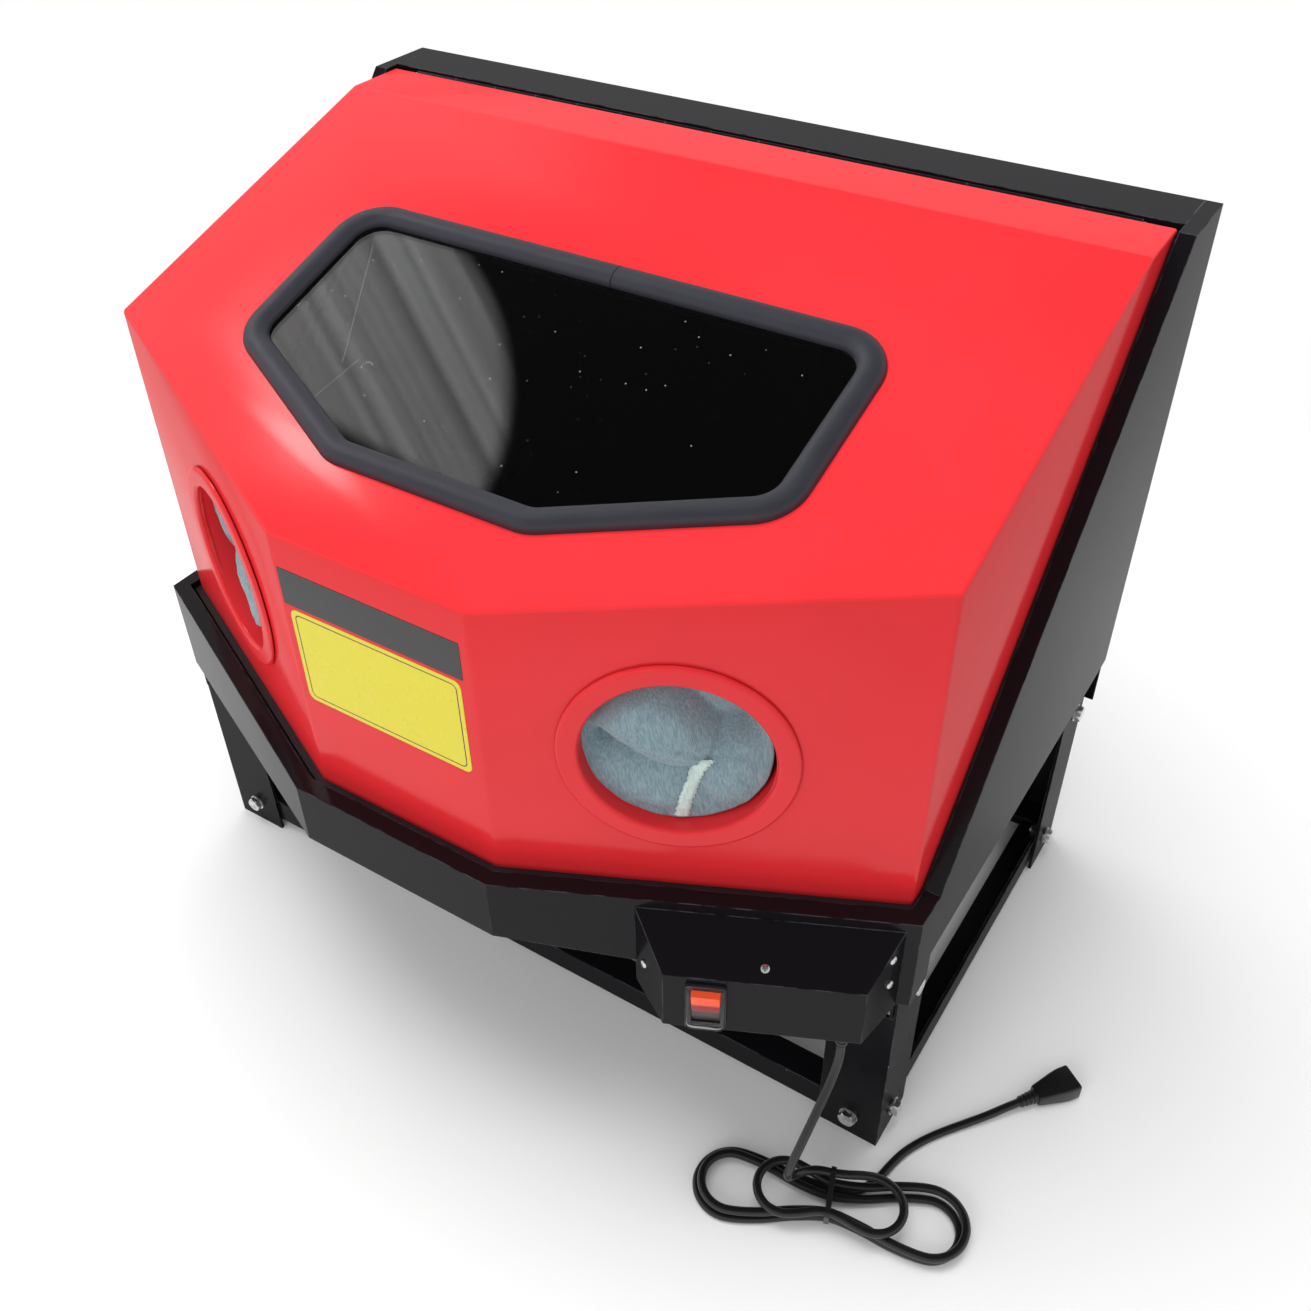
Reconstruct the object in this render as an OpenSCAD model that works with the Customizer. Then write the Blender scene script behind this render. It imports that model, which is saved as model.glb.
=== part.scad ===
// Bench-top parts washer: a steel tank on bolted legs under a hinged hood with a window and two glove ports.
// Millimetres. X runs to the right, Y to the back and Z up; the origin is on the floor under the tank's middle.

/* [Cabinet] */
// Width over the tank rim
cab_w = 730; // [650:1:820]
// Depth from the nose to the rear wall
cab_d = 543; // [500:1:620]
// Height of the rear top edge
cab_h = 642; // [600:1:700]
// Height of the front rim
rim_z = 285; // [270:1:310]
// Width of the flat nose at the rim
nose_w = 181; // [150:1:220]
// How far the nose stands forward of the side corners
nose_d = 128; // [100:1:150]
// Level run of the rim behind each front corner
corner_run = 30; // [26:1:45]
// Depth of the flat top behind the slanted side rims
strip_d = 64.5; // [60:0.5:75]
// Thickness of the tank and hood sheet
sheet_t = 2; // [1.5:0.1:2.5]

/* [Rim] */
// Width of the flat rim band on the three front facets
band_front = 13.4; // [11:0.1:16]
// Width of the flat rim band at the sides
band_side = 12.5; // [11:0.1:15]
// Gap between the front band and the hood, which swings forward as it opens
gap_front = 8; // [7:0.1:12]
// Gap between the side band and the hood
gap_side = 2.5; // [1.5:0.1:5]
// How far the lower edge of the hood sits below the rim
hood_drop = 6; // [4:0.1:6.5]
// Thickness of the rubber rim seal
seal_t = 3.7; // [2.5:0.1:5]
// Width of the rubber rim seal
seal_w = 11; // [8:0.1:12]
// Width of the ledge that carries the seal
seat_w = 20; // [18:0.5:26]
// Height of the front skirt at the nose
skirt_nose_h = 56; // [50:1:66]
// Height of the front skirt at the side corners
skirt_corner_h = 90; // [80:1:95]
// Height of the side panels below the rim
side_drop = 63; // [50:1:75]

/* [Tub] */
// Height of the tub floor's top face
floor_z = 202; // [198:0.5:206]
// How far the apron under the nose rises to the front
apron_rise = 30; // [20:1:34]
// Height of the lower edge of the tub walls, where the legs are bolted
flange_z = 174; // [170:1:178]
// Height of the work shelf's lower face
shelf_z = 248; // [242:1:258]
// Distance from the nose to the front edge of the work shelf
shelf_front = 151; // [145:1:200]
// Width of the ledge that carries the shelf on each side
shelf_ledge = 32; // [28:1:40]
// Diameter of the holes in the work shelf
shelf_hole_d = 20; // [12:1:26]
// Spacing of the holes in the work shelf
shelf_pitch = 48; // [40:1:60]
// Bore of the drain
drain_d = 22; // [18:1:28]

/* [Legs] */
// Width of each leg flange
leg_w = 53; // [46:1:60]
// Thickness of the leg angle
leg_t = 3; // [2:0.1:4]
// Height of the leg's side flange
leg_h = 255; // [215:1:262]
// Distance from the rear wall to the rear legs
leg_inset = 14.5; // [12:0.5:25]
// Width of each rail flange
rail_w = 25; // [22:1:30]
// Thickness of the rail angle
rail_t = 3; // [2:0.1:4]
// Height of the rails above the floor
rail_z = 12; // [5:1:30]
// Distance of each bolt from the leg's corner
bolt_in = 26; // [22:0.5:30]
// Height of the bolts that hold the tub to the legs
upper_bolt_z = 186; // [184:0.5:188]
// Thread diameter of the leg bolts
bolt_d = 8; // [6:1:8]

/* [Hood] */
// Distance from the rear edge of the hood to its top fold
hood_strip = 54; // [45:0.5:65]
// Height of the hood's top at the nose
hood_nose_z = 509.4; // [480:0.1:530]
// Depth of the hinge flange at the rear of the hood
hood_flange = 24; // [20:0.5:30]
// Gap between the hood and the top strip, which holds the hinge
hinge_gap = 7; // [6.6:0.1:8]
// Width of the window trim's outside
win_w = 470; // [420:1:520]
// Distance from the fold to the window trim's upper edge
win_top = 128; // [110:1:150]
// Length of the window trim down the slope
win_len = 237; // [200:1:250]
// Length of the short sides of the window trim
win_side = 163; // [140:1:175]
// Width of the window trim
trim_w = 20; // [16:0.5:24]
// Height of the trim's bead above the panel
trim_h = 8; // [6:0.5:10]
// Thickness of the window pane
pane_t = 4; // [3:0.5:5]
// Outer corner radius of the window trim
win_r = 40; // [34:1:44]

/* [Glove ports] */
// Bore of each glove port
port_d = 130; // [110:1:140]
// Diameter of the raised ring around each port
port_ring_d = 162; // [150:1:170]
// Height of the raised ring
port_ring_h = 3; // [2:0.5:5]
// Depth of the collar behind the ring
port_depth = 50; // [42:1:60]
// Distance of the port's centre from the nose corner, along the facet
port_u = 128.5; // [100:0.5:160]
// Height of the port's centre
port_z = 401; // [385:1:410]
// Wall of the glove
glove_t = 3; // [2:0.5:4]
// How far the folded glove reaches behind the facet
glove_depth = 112; // [95:1:125]

/* [Control box] */
// Length of the box where it meets the skirt
box_len = 188; // [170:1:200]
// How far each end tapers in towards the front
box_taper = 24; // [18:1:30]
// How far the box stands out from the skirt
box_out = 36; // [32:1:44]
// Distance of the box from the nose corner, along the facet
box_u = 105; // [95:1:108]
// Height of the box's upper edge
box_top_z = 277; // [272:1:280]
// Height of the upper edge of the box's front face
box_brow_z = 251; // [247:1:255]
// Height of the box's lower face
box_low_z = 195; // [190:1:198]
// Thickness of the box sheet
box_t = 1.5; // [1:0.1:2]
// Width of the switch bezel
switch_w = 29; // [26:0.5:32]
// Height of the switch bezel
switch_h = 44; // [38:0.5:46]
// Distance of the switch's middle from the left end of the front face
switch_in = 32; // [26:0.5:45]
// Height of the switch's middle
switch_z = 223; // [221:0.5:225]
// Throw of the rocker, in degrees
rocker_throw = 20; // [14:1:24]

/* [Mains lead] */
// Diameter of the mains lead
cord_d = 7; // [6:0.1:7.2]
// Length of the strain relief under the box
relief_len = 28; // [22:1:40]

/* [Hidden] */
// Clearance between pieces that only lie against each other
fit = 0.15;
// Clearance between the hood and its seal
rest_gap = 0.3;
// Margin that makes a cut run past the face it opens
cut = 1;
through = 20;
big = 1000;
$fn = 64;

// Plan of the rim: corner, nose and rear lines, and the turn of the side facets
side_x = cab_w / 2;
back_y = cab_d / 2;
nose_y = -cab_d / 2;
corner_y = nose_y + nose_d;
crease_y = corner_y + corner_run;
top_y = back_y - strip_d;
facet_a = atan(nose_d / (side_x - nose_w / 2));
slant_a = atan((cab_h - rim_z) / (top_y - crease_y));

// Levels at the rim
seat_z = rim_z - hood_drop - rest_gap - seal_t;
side_z = rim_z - side_drop;
wall_x = side_x - band_side;

// Hood: insets from the rim, rear edge, fold and slope of the top
hood_df = band_front + gap_front;
hood_ds = band_side + gap_side;
hood_x = side_x - hood_ds;
hinge_dy = hinge_gap / 2;
hood_lap = 8;
hood_sink = 1.5;
hood_back_y = top_y + hood_lap;
fold_y = hood_back_y - hood_strip;
hood_nose_y = nose_y + hood_df;
hood_top_z = cab_h - hood_sink;
top_a = atan((hood_top_z - hood_nose_z) / (fold_y - hood_nose_y));
top_t = sheet_t / cos(top_a);
hood_nose_x = nose_w / 2 - hood_df * tan(facet_a / 2);

// Hinge axis
hinge_y = hood_back_y + hinge_dy;
hinge_sink = 4;
hinge_z = cab_h - hinge_sink;
strip_y = hood_back_y + hinge_gap;
pin_r = 1.5;
pin_clear = 0.05;
knuckle_r = 3;
leaf_t = 1.2;
leaf_h = 18;
knuckle_n = 15;
knuckle_gap = 0.5;
leaf_gap = 0.6;
pin_out = 2;
flange_clear = 2;
flange_x = wall_x - seat_w - flange_clear;
hinge_short = 10;
hinge_len = 2 * flange_x - hinge_short;
knuckle_len = hinge_len / knuckle_n;

// Legs: faces that meet the tub wall, and the front and rear corners
leg_in_x = wall_x + sheet_t;
leg_out_x = leg_in_x + leg_t;
leg_front_y = corner_y;
leg_rear_y = back_y - leg_inset;
leg_low_gap = 4;
leg_low_h = flange_z - leg_low_gap;
rail_bolt_z = rail_z + rail_w / 2;

// Bolt, washer and nut sizes follow the thread
bolt_r = bolt_d / 2;
bolt_clear = 0.4;
bolt_hole_r = bolt_r + bolt_clear;
hex_r = bolt_d * 1.625 / 2 / cos(30);
head_h = bolt_d * 0.66;
nut_h = bolt_d * 0.8;
washer_r = bolt_d;
washer_t = bolt_d * 0.2;

// Trim: web between panel and pane, and the lower bead
trim_web = 1;
trim_low = 3;
port_r = port_d / 2;
collar_r = port_r + sheet_t;
glove_r = collar_r + fit;
// Glove: lap on the collar, height and inset of its tapered end
glove_lap = 22;
glove_end = 20;
glove_taper = 14;
clamp_w = 12;
clamp_t = 1.2;
clamp_screw = [22, 7];

// Control box: middle of the switch, rocker pivot and lead outlet, along the facet
switch_u = box_u + box_taper + switch_in - box_t;
bezel_lap_w = 3;
bezel_lap_h = 4;
switch_hole_w = switch_w - bezel_lap_w;
switch_hole_h = switch_h - bezel_lap_h;
switch_depth = 18;
bezel_t = 2.5;
rocker_sides = 6;
rocker_ends = 7;
rocker_w = switch_hole_w - rocker_sides;
rocker_h = switch_hole_h - rocker_ends;
pivot_in = 3;
pivot_out = 1.8;
pivot_bore = 2;
switch_round = 3;
switch_floor = 4;
brow_dz = box_top_z - box_brow_z;
screw_r = 1.7;
screw_len = 7;
head_rim = 3.4;
head_face = 2.4;
head_t = 2;
screw_w = box_out / 3;
lid_screw_w = box_out * 0.75;
left_screw_up = 35;
right_screw_up = 39;
brow_screw_up = 10;
left_screw_z = box_low_z + left_screw_up;
right_screw_z = [box_low_z + right_screw_up, box_brow_z + brow_screw_up];
outlet_in = 36;
outlet_u = box_u + box_len - outlet_in;
outlet_w = box_out / 2;
outlet = rim_xy(outlet_u, outlet_w);

relief_r = 6;
relief_wall = 0.8;

// Cable from the pump through the skirt into the control box
cable_d = 6;
cable_u = box_u + box_len / 2;
cable_z = box_brow_z;
cable_gland_r = 6;
cable_bow = 20;
cable_rings = 20;
gland_in = 14;

// Drain
drain_in = 70;
bung_wall = 4;
bung_lip = 5;
drain_y = back_y - drain_in;
bung_r = drain_d / 2 + bung_wall;
bung_flange_r = bung_r + bung_lip;
bung_low = 20;

// Pump and spout stand in the rear right corner
pump_x = 250;
pump_in = 35;
pump_y = back_y - pump_in;
screen_r = 32;
screen_h = 16;
pump_r = 28;
pump_h = 26;
pipe_r = 6;
barb_h = 16;
hose_wall = 2;
hose_r = pipe_r + hose_wall;
hose_top = 390;
spout_bend = 60;
spout_top = 450;

// Work shelf: its rear edge clears the pump, its front edge follows the nose
shelf_back = 62;
shelf_y1 = back_y - shelf_back;
shelf_d = shelf_y1 - nose_y - shelf_front;

// Hank of the lead: place, turn, loops and layers
hank_at = [349.5, -211.8];
hank_turn = 18.5;
hank_loops = 3;
hank_half = 107;
hank_round = 30;
short_half = 57;
short_round = 22;
hank_waist = 14.2;
hank_step = 7.9;
waist_step = 1.1;
// Where along the hank, in loops, the lead sinks by one layer
hank_falls = [[0, 0.2], [0.875, 1.05], [1.75, 2.25]];
tie_t = 1.2;
tie_gap = 0.3;
tie_w = 4;
loop_rings = 24;
plug_turn = 54.5;
plug_z = 8.5;
boot_len = 16;

// Route of the lead from the strain relief down to the hank, and from the hank to the plug
drop_low = [320.5, -229, 48.5];
drop_way = [-0.1, 0.37, -1] / norm([-0.1, 0.37, -1]);
drop_straight = 10;
drop_pulls = [35, 33.5, 17, 16.5];
drop_rings = 12;
lead_route = [
    [362.5, -189, 5.1], [366.1, -184.2, 4.8], [369.6, -177, 4.3], [372.8, -167.5, 3.8], [375.7, -153.9, 3.8],
    [380.2, -138.5, 3.8], [389, -120.6, 3.8], [400.1, -103.9, 3.8], [412.4, -88.2, 4.5], [425, -72.7, 6.2],
    [433.4, -61.5, 7.7]
];
plug_at = [442, -50];

// A point of the right skirt facet in plan: u from the nose corner, w outwards
function rim_xy(u, w) = [
    nose_w / 2 + u * cos(facet_a) + w * sin(facet_a),
    nose_y + u * sin(facet_a) - w * cos(facet_a)
];
function reversed(a) = [for (i = [len(a) - 1:-1:0]) a[i]];
// Front outline in plan, moved in by df on the facets and by ds at the sides
function corner_pt(df, ds) = [side_x - ds, corner_y + (df - ds * sin(facet_a)) / cos(facet_a)];
function nose_pt(df) = [nose_w / 2 - df * tan(facet_a / 2), nose_y + df];
function half_chain(df, ds, end_y) = [nose_pt(df), corner_pt(df, ds), [side_x - ds, end_y]];
function chain(df, ds, end_y) = concat(
    [for (p = reversed(half_chain(df, ds, end_y))) [-p[0], p[1]]],
    half_chain(df, ds, end_y)
);
// The slanted side rim in the Y-Z plane, moved down square to itself by d
function slant(d) = [
    [crease_y + d * tan(slant_a / 2), rim_z - d],
    [top_y + d * tan(slant_a / 2), cab_h - d]
];
// A closed outline with its corners rounded by arcs of radius r
function unit(v) = v / norm(v);
function arc_corner(a, b, c, r, n) =
    let (
        p = unit(a - b),
        q = unit(c - b),
        half = acos(p * q) / 2,
        reach = r / tan(half),
        mid = b + unit(p + q) * r / sin(half),
        from = b + p * reach - mid,
        side = sign(p[0] * q[1] - p[1] * q[0]),
        turn = 180 - 2 * half
    )
    [for (i = [0:n]) let (t = side * -turn * i / n)
        mid + [from[0] * cos(t) - from[1] * sin(t), from[0] * sin(t) + from[1] * cos(t)]];
function rounded(pts, r, n = 8) = let (m = len(pts)) [
    for (i = [0:m - 1]) each arc_corner(pts[(i + m - 1) % m], pts[i], pts[(i + 1) % m], r, n)
];

// Extrudes a Y-Z outline along X, from x0 to x1
module across(x0, x1) {
    translate([x0, 0, 0]) rotate([90, 0, 90]) linear_extrude(x1 - x0) children();
}
// Places children on the right or the mirrored left side
module on_side(s) {
    if (s < 0) mirror([1, 0, 0]) children();
    else children();
}
// Places children on the right skirt facet: X along it, Y up, Z outwards
module on_skirt(u, z, w = 0) {
    p = rim_xy(u, w);
    translate([p[0], p[1], z]) rotate([90, 0, facet_a]) children();
}
// Places children on the right hood facet in the same way
module on_facet(u, z) {
    translate([
        hood_nose_x + u * cos(facet_a),
        hood_nose_y + u * sin(facet_a),
        z
    ]) rotate([90, 0, facet_a]) children();
}
// Places children on the hood's sloping top: -Y runs down from the fold, Z is outwards
module on_top() {
    translate([0, fold_y, hood_top_z]) rotate([top_a, 0, 0]) children();
}

// Strip in plan between two front outlines
module front_strip(df0, df1, ds0, ds1) {
    polygon(concat(chain(df0, ds0, crease_y), reversed(chain(df1, ds1, crease_y))));
}

// Front of the tank: skirt of three facets, flat rim band, lip and the ledge under the hood
module tank_front() {
    low_n = rim_z - skirt_nose_h;
    low_c = rim_z - skirt_corner_h;
    color("#1e1c20") difference() {
        union() {
            intersection() {
                linear_extrude(rim_z) front_strip(0, sheet_t, 0, sheet_t);
                across(-big, big) polygon([
                    [nose_y - cut, low_n], [nose_y, low_n], [corner_y, low_c], [crease_y, low_c],
                    [crease_y, rim_z], [nose_y - cut, rim_z]
                ]);
            }
            translate([0, 0, rim_z - sheet_t]) linear_extrude(sheet_t)
                front_strip(0, band_front, 0, band_side);
            translate([0, 0, seat_z - sheet_t]) linear_extrude(rim_z - seat_z)
                front_strip(band_front - sheet_t, band_front, band_side - sheet_t, band_side);
            translate([0, 0, seat_z - sheet_t]) linear_extrude(sheet_t)
                front_strip(band_front - sheet_t, band_front + seat_w, band_side - sheet_t, band_side + seat_w);
        }
        on_skirt(cable_u, cable_z, -10) cylinder(r = cable_gland_r + fit, h = 20);
    }
}

// Side of the tank: outer panel, slanted rim band, tub wall and the slanted ledge, folded as one
module tank_side(s) {
    ledge = rim_z - seat_z;
    wall_y = corner_pt(sheet_t, band_side - sheet_t)[1];
    color("#1e1c20") on_side(s) difference() {
        union() {
            across(side_x - sheet_t, side_x) polygon([
                [crease_y, side_z], [crease_y, rim_z], [top_y, cab_h], [back_y, cab_h], [back_y, side_z]
            ]);
            across(wall_x, side_x) polygon([
                [crease_y, rim_z], [top_y, cab_h], [back_y, cab_h], [back_y, cab_h - sheet_t],
                slant(sheet_t)[1], slant(sheet_t)[0]
            ]);
            across(wall_x, wall_x + sheet_t) polygon([
                [wall_y, flange_z], [wall_y, seat_z - sheet_t], [crease_y, seat_z - sheet_t],
                [crease_y, rim_z], [top_y, cab_h], [back_y - sheet_t, cab_h], [back_y - sheet_t, flange_z]
            ]);
            across(wall_x - seat_w, wall_x) polygon([
                [crease_y, seat_z], slant(ledge)[0], slant(ledge)[1],
                slant(ledge + sheet_t)[1], slant(ledge + sheet_t)[0], [crease_y, seat_z - sheet_t]
            ]);
        }
        for (y = [leg_front_y + bolt_in, leg_rear_y - bolt_in])
            translate([wall_x - cut, y, upper_bolt_z]) rotate([0, 90, 0])
                cylinder(r = bolt_hole_r, h = sheet_t + 2 * cut);
    }
}
module tank_side_left() { tank_side(-1); }
module tank_side_right() { tank_side(1); }

// Rear wall with the flat top strip and its hinge lip
module tank_rear() {
    lip_h = hood_flange + 2;
    color("#1e1c20") union() {
        translate([-side_x + sheet_t, back_y - sheet_t, flange_z])
            cube([cab_w - 2 * sheet_t, sheet_t, cab_h - flange_z - sheet_t]);
        translate([-wall_x, strip_y, cab_h - sheet_t]) cube([2 * wall_x, back_y - strip_y, sheet_t]);
        translate([-wall_x, strip_y, cab_h - lip_h]) cube([2 * wall_x, sheet_t, lip_h]);
    }
}

// Floor of the tub with the sloping apron under the nose
module tank_floor() {
    apron_z = floor_z + apron_rise;
    color("#222024") difference() {
        intersection() {
            linear_extrude(rim_z) polygon(chain(sheet_t, band_side, back_y - sheet_t));
            across(-big, big) polygon([
                [nose_y, apron_z], [corner_y, floor_z], [back_y, floor_z],
                [back_y, floor_z - sheet_t], [corner_y, floor_z - sheet_t], [nose_y, apron_z - sheet_t]
            ]);
        }
        translate([0, drain_y, floor_z - sheet_t - cut]) cylinder(r = bung_r + fit, h = sheet_t + 2 * cut);
    }
}

// Rubber strip on the ledge, under the lower edge of the hood
module rim_seal() {
    ledge = rim_z - seat_z;
    mid = hood_df + sheet_t / 2;
    ds = band_side + fit;
    color("#303035") union() {
        translate([0, 0, seat_z]) linear_extrude(seal_t)
            front_strip(mid - seal_w / 2, mid + seal_w / 2, ds, ds + seal_w);
        for (s = [-1, 1]) on_side(s) across(side_x - ds - seal_w, side_x - ds) polygon([
            [crease_y, seat_z], [crease_y, seat_z + seal_t], slant(ledge - seal_t)[0], slant(ledge - seal_t)[1],
            slant(ledge)[1], slant(ledge)[0]
        ]);
    }
}

// Angle leg: the side flange is bolted to the tub wall, the short flange carries the cross rail
module leg(s, rear) {
    y0 = rear ? leg_rear_y : leg_front_y;
    color("#1e1c20") on_side(s) translate([0, y0, 0]) mirror([0, rear ? 1 : 0, 0]) difference() {
        union() {
            translate([leg_in_x, 0, 0]) cube([leg_t, leg_w, leg_h]);
            translate([leg_out_x - leg_w, 0, 0]) cube([leg_w, leg_t, leg_low_h]);
        }
        for (z = [rail_bolt_z, upper_bolt_z])
            translate([leg_in_x - cut, bolt_in, z]) rotate([0, 90, 0])
                cylinder(r = bolt_hole_r, h = leg_t + 2 * cut);
        translate([leg_out_x - bolt_in, leg_t + cut, rail_bolt_z]) rotate([90, 0, 0])
            cylinder(r = bolt_hole_r, h = leg_t + 2 * cut);
    }
}
module leg_front_left() { leg(-1, false); }
module leg_front_right() { leg(1, false); }
module leg_rear_left() { leg(-1, true); }
module leg_rear_right() { leg(1, true); }

// Cross rail between two legs: upright flange behind the legs, level flange at the top
module cross_rail(rear) {
    y0 = rear ? leg_rear_y - leg_t : leg_front_y + leg_t;
    level_x = leg_in_x - rail_t;
    color("#1e1c20") translate([0, y0, rail_z]) mirror([0, rear ? 1 : 0, 0]) difference() {
        union() {
            translate([-leg_in_x, 0, 0]) cube([2 * leg_in_x, rail_t, rail_w]);
            translate([-level_x, 0, rail_w - rail_t]) cube([2 * level_x, rail_w, rail_t]);
        }
        for (s = [-1, 1]) translate([s * (leg_out_x - bolt_in), rail_t + cut, rail_w / 2]) rotate([90, 0, 0])
            cylinder(r = bolt_hole_r, h = rail_t + 2 * cut);
    }
}
module rail_front() { cross_rail(false); }
module rail_rear() { cross_rail(true); }

// Side rail: upright flange inside the legs, level flange at the bottom
module side_rail(s) {
    y0 = leg_front_y + leg_t + rail_t;
    y1 = leg_rear_y - leg_t - rail_t;
    color("#1e1c20") on_side(s) difference() {
        union() {
            translate([leg_in_x - rail_t, y0, rail_z]) cube([rail_t, y1 - y0, rail_w]);
            translate([leg_in_x - rail_w, y0, rail_z]) cube([rail_w, y1 - y0, rail_t]);
        }
        for (y = [leg_front_y + bolt_in, leg_rear_y - bolt_in])
            translate([leg_in_x - rail_t - cut, y, rail_bolt_z]) rotate([0, 90, 0])
                cylinder(r = bolt_hole_r, h = rail_t + 2 * cut);
    }
}
module rail_left() { side_rail(-1); }
module rail_right() { side_rail(1); }

// Places children at every leg bolt, Z outwards from the leg's face; $grip is the clamped thickness
module each_bolt() {
    for (s = [-1, 1], rear = [false, true]) on_side(s) {
        y_face = rear ? leg_rear_y : leg_front_y;
        y_side = rear ? leg_rear_y - bolt_in : leg_front_y + bolt_in;
        translate([leg_out_x - bolt_in, y_face, rail_bolt_z]) rotate([rear ? -90 : 90, 0, 0]) {
            $grip = leg_t + rail_t;
            children();
        }
        translate([leg_out_x, y_side, rail_bolt_z]) rotate([0, 90, 0]) {
            $grip = leg_t + rail_t;
            children();
        }
        translate([leg_out_x, y_side, upper_bolt_z]) rotate([0, 90, 0]) {
            $grip = leg_t + sheet_t;
            children();
        }
    }
}
module leg_bolts() {
    color("#c8cdcd") each_bolt() union() {
        translate([0, 0, washer_t]) cylinder(r = hex_r, h = head_h, $fn = 6);
        translate([0, 0, -$grip - nut_h - 2]) cylinder(r = bolt_r, h = $grip + nut_h + 2 + washer_t);
    }
}
module leg_washers() {
    color("#b8bcbc") each_bolt() difference() {
        cylinder(r = washer_r, h = washer_t);
        translate([0, 0, -cut]) cylinder(r = bolt_r + fit, h = washer_t + 2 * cut);
    }
}
module leg_nuts() {
    color("#c0c4c4") each_bolt() translate([0, 0, -$grip - nut_h]) difference() {
        cylinder(r = hex_r, h = nut_h, $fn = 6);
        translate([0, 0, -cut]) cylinder(r = bolt_r + fit, h = nut_h + 2 * cut);
    }
}

// Everything below the underside of the hood's top, down to the lower edge of the hood
module under_top() {
    low = slant(hood_drop);
    across(-big, big) polygon([
        [nose_y, rim_z - hood_drop], low[0], low[1], [hood_back_y, cab_h - hood_drop],
        [hood_back_y, hood_top_z - sheet_t], [fold_y + sheet_t * tan(top_a / 2), hood_top_z - sheet_t],
        [nose_y, hood_nose_z - top_t - (hood_nose_y - nose_y) * tan(top_a)]
    ]);
}
// Corners of the window outline, moved in by d from the trim's outside
function win_corners(d) =
    let (
        x = win_w / 2 - d,
        m = tan(facet_a) / cos(top_a),
        lean = atan(m),
        s_low = win_top + win_len - d,
        low_x = win_w / 2 - (win_len - win_side) / m - d * tan(lean / 2)
    )
    [
        [-x, -(win_top + d)], [x, -(win_top + d)], [x, -(s_low - (x - low_x) * m)],
        [low_x, -s_low], [-low_x, -s_low], [-x, -(s_low - (x - low_x) * m)]
    ];
function win_path(d) = rounded(win_corners(d), win_r - d);

// Top sheet of the hood: sloping panel with the window opening, level strip and rear hinge flange
module hood_top() {
    outline = chain(hood_df, hood_ds, hood_back_y);
    color("#dc262c") union() {
        difference() {
            intersection() {
                linear_extrude(cab_h) polygon(outline);
                across(-big, big) polygon([
                    [hood_nose_y, hood_nose_z], [fold_y, hood_top_z],
                    [hood_back_y, hood_top_z], [hood_back_y, hood_top_z - sheet_t],
                    [fold_y + sheet_t * tan(top_a / 2), hood_top_z - sheet_t],
                    [hood_nose_y, hood_nose_z - top_t]
                ]);
            }
            on_top() translate([0, 0, -through / 2]) linear_extrude(through)
                polygon(win_path(trim_w / 2 - trim_web / 2));
        }
        translate([-flange_x, hood_back_y - sheet_t, hood_top_z - hood_flange])
            cube([2 * flange_x, sheet_t, hood_flange - sheet_t / 2]);
    }
}
// Front sheet of the hood, folded into the nose and two facets, each facet with a port hole
module hood_front() {
    outer = [nose_pt(hood_df), corner_pt(hood_df, hood_ds)];
    inner = [corner_pt(hood_df + sheet_t, hood_ds + sheet_t), nose_pt(hood_df + sheet_t)];
    half = concat(outer, inner);
    color("#dc262c") difference() {
        intersection() {
            linear_extrude(cab_h) polygon(concat(
                half, [for (p = reversed(half)) [-p[0], p[1]]]
            ));
            under_top();
        }
        for (s = [-1, 1]) on_side(s) on_facet(port_u, port_z) translate([0, 0, -through / 2])
            cylinder(r = collar_r + fit, h = through);
    }
}
// Side sheet of the hood, cut along the slanted rim
module hood_side(s) {
    color("#dc262c") on_side(s) intersection() {
        linear_extrude(cab_h) polygon([
            corner_pt(hood_df, hood_ds), [hood_x, hood_back_y], [hood_x - sheet_t, hood_back_y],
            corner_pt(hood_df + sheet_t, hood_ds + sheet_t)
        ]);
        under_top();
    }
}
module hood_side_left() { hood_side(-1); }
module hood_side_right() { hood_side(1); }

// Clear pane, level with the top sheet
module window_pane() {
    color([0.1, 0.1, 0.12, 0.5]) on_top() translate([0, 0, -pane_t]) linear_extrude(pane_t)
        polygon(win_path(trim_w / 2 + trim_web / 2));
}
// Rubber trim of H section: a round bead above, slots for the sheet and the pane, a flat bead below
module window_trim() {
    w = trim_w / 2;
    web = trim_web / 2;
    bead = [for (i = [0:8]) let (t = 180 * i / 8) [-w * cos(t), trim_h * sin(t)]];
    section = concat(bead, [
        [web, 0], [web, -pane_t], [w, -pane_t], [w, -pane_t - trim_low], [-w, -pane_t - trim_low],
        [-w, -sheet_t], [-web, -sheet_t], [-web, 0]
    ]);
    rings = [for (k = section) [for (q = win_path(w + k[0])) [q[0], q[1], k[1]]]];
    color("#2e2e34") on_top() loop_skin(rings);
}
// Closed skin over loops of points that share one count, the last joined to the first
module loop_skin(rings) {
    n = len(rings);
    m = len(rings[0]);
    points = [for (r = rings) each r];
    faces = [for (i = [0:n - 1], j = [0:m - 1])
        let (this = i * m, next = (i + 1) % n * m, k = (j + 1) % m)
        each [[this + j, this + k, next + k], [this + j, next + k, next + j]]];
    polyhedron(points, faces, convexity = 6);
}

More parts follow.
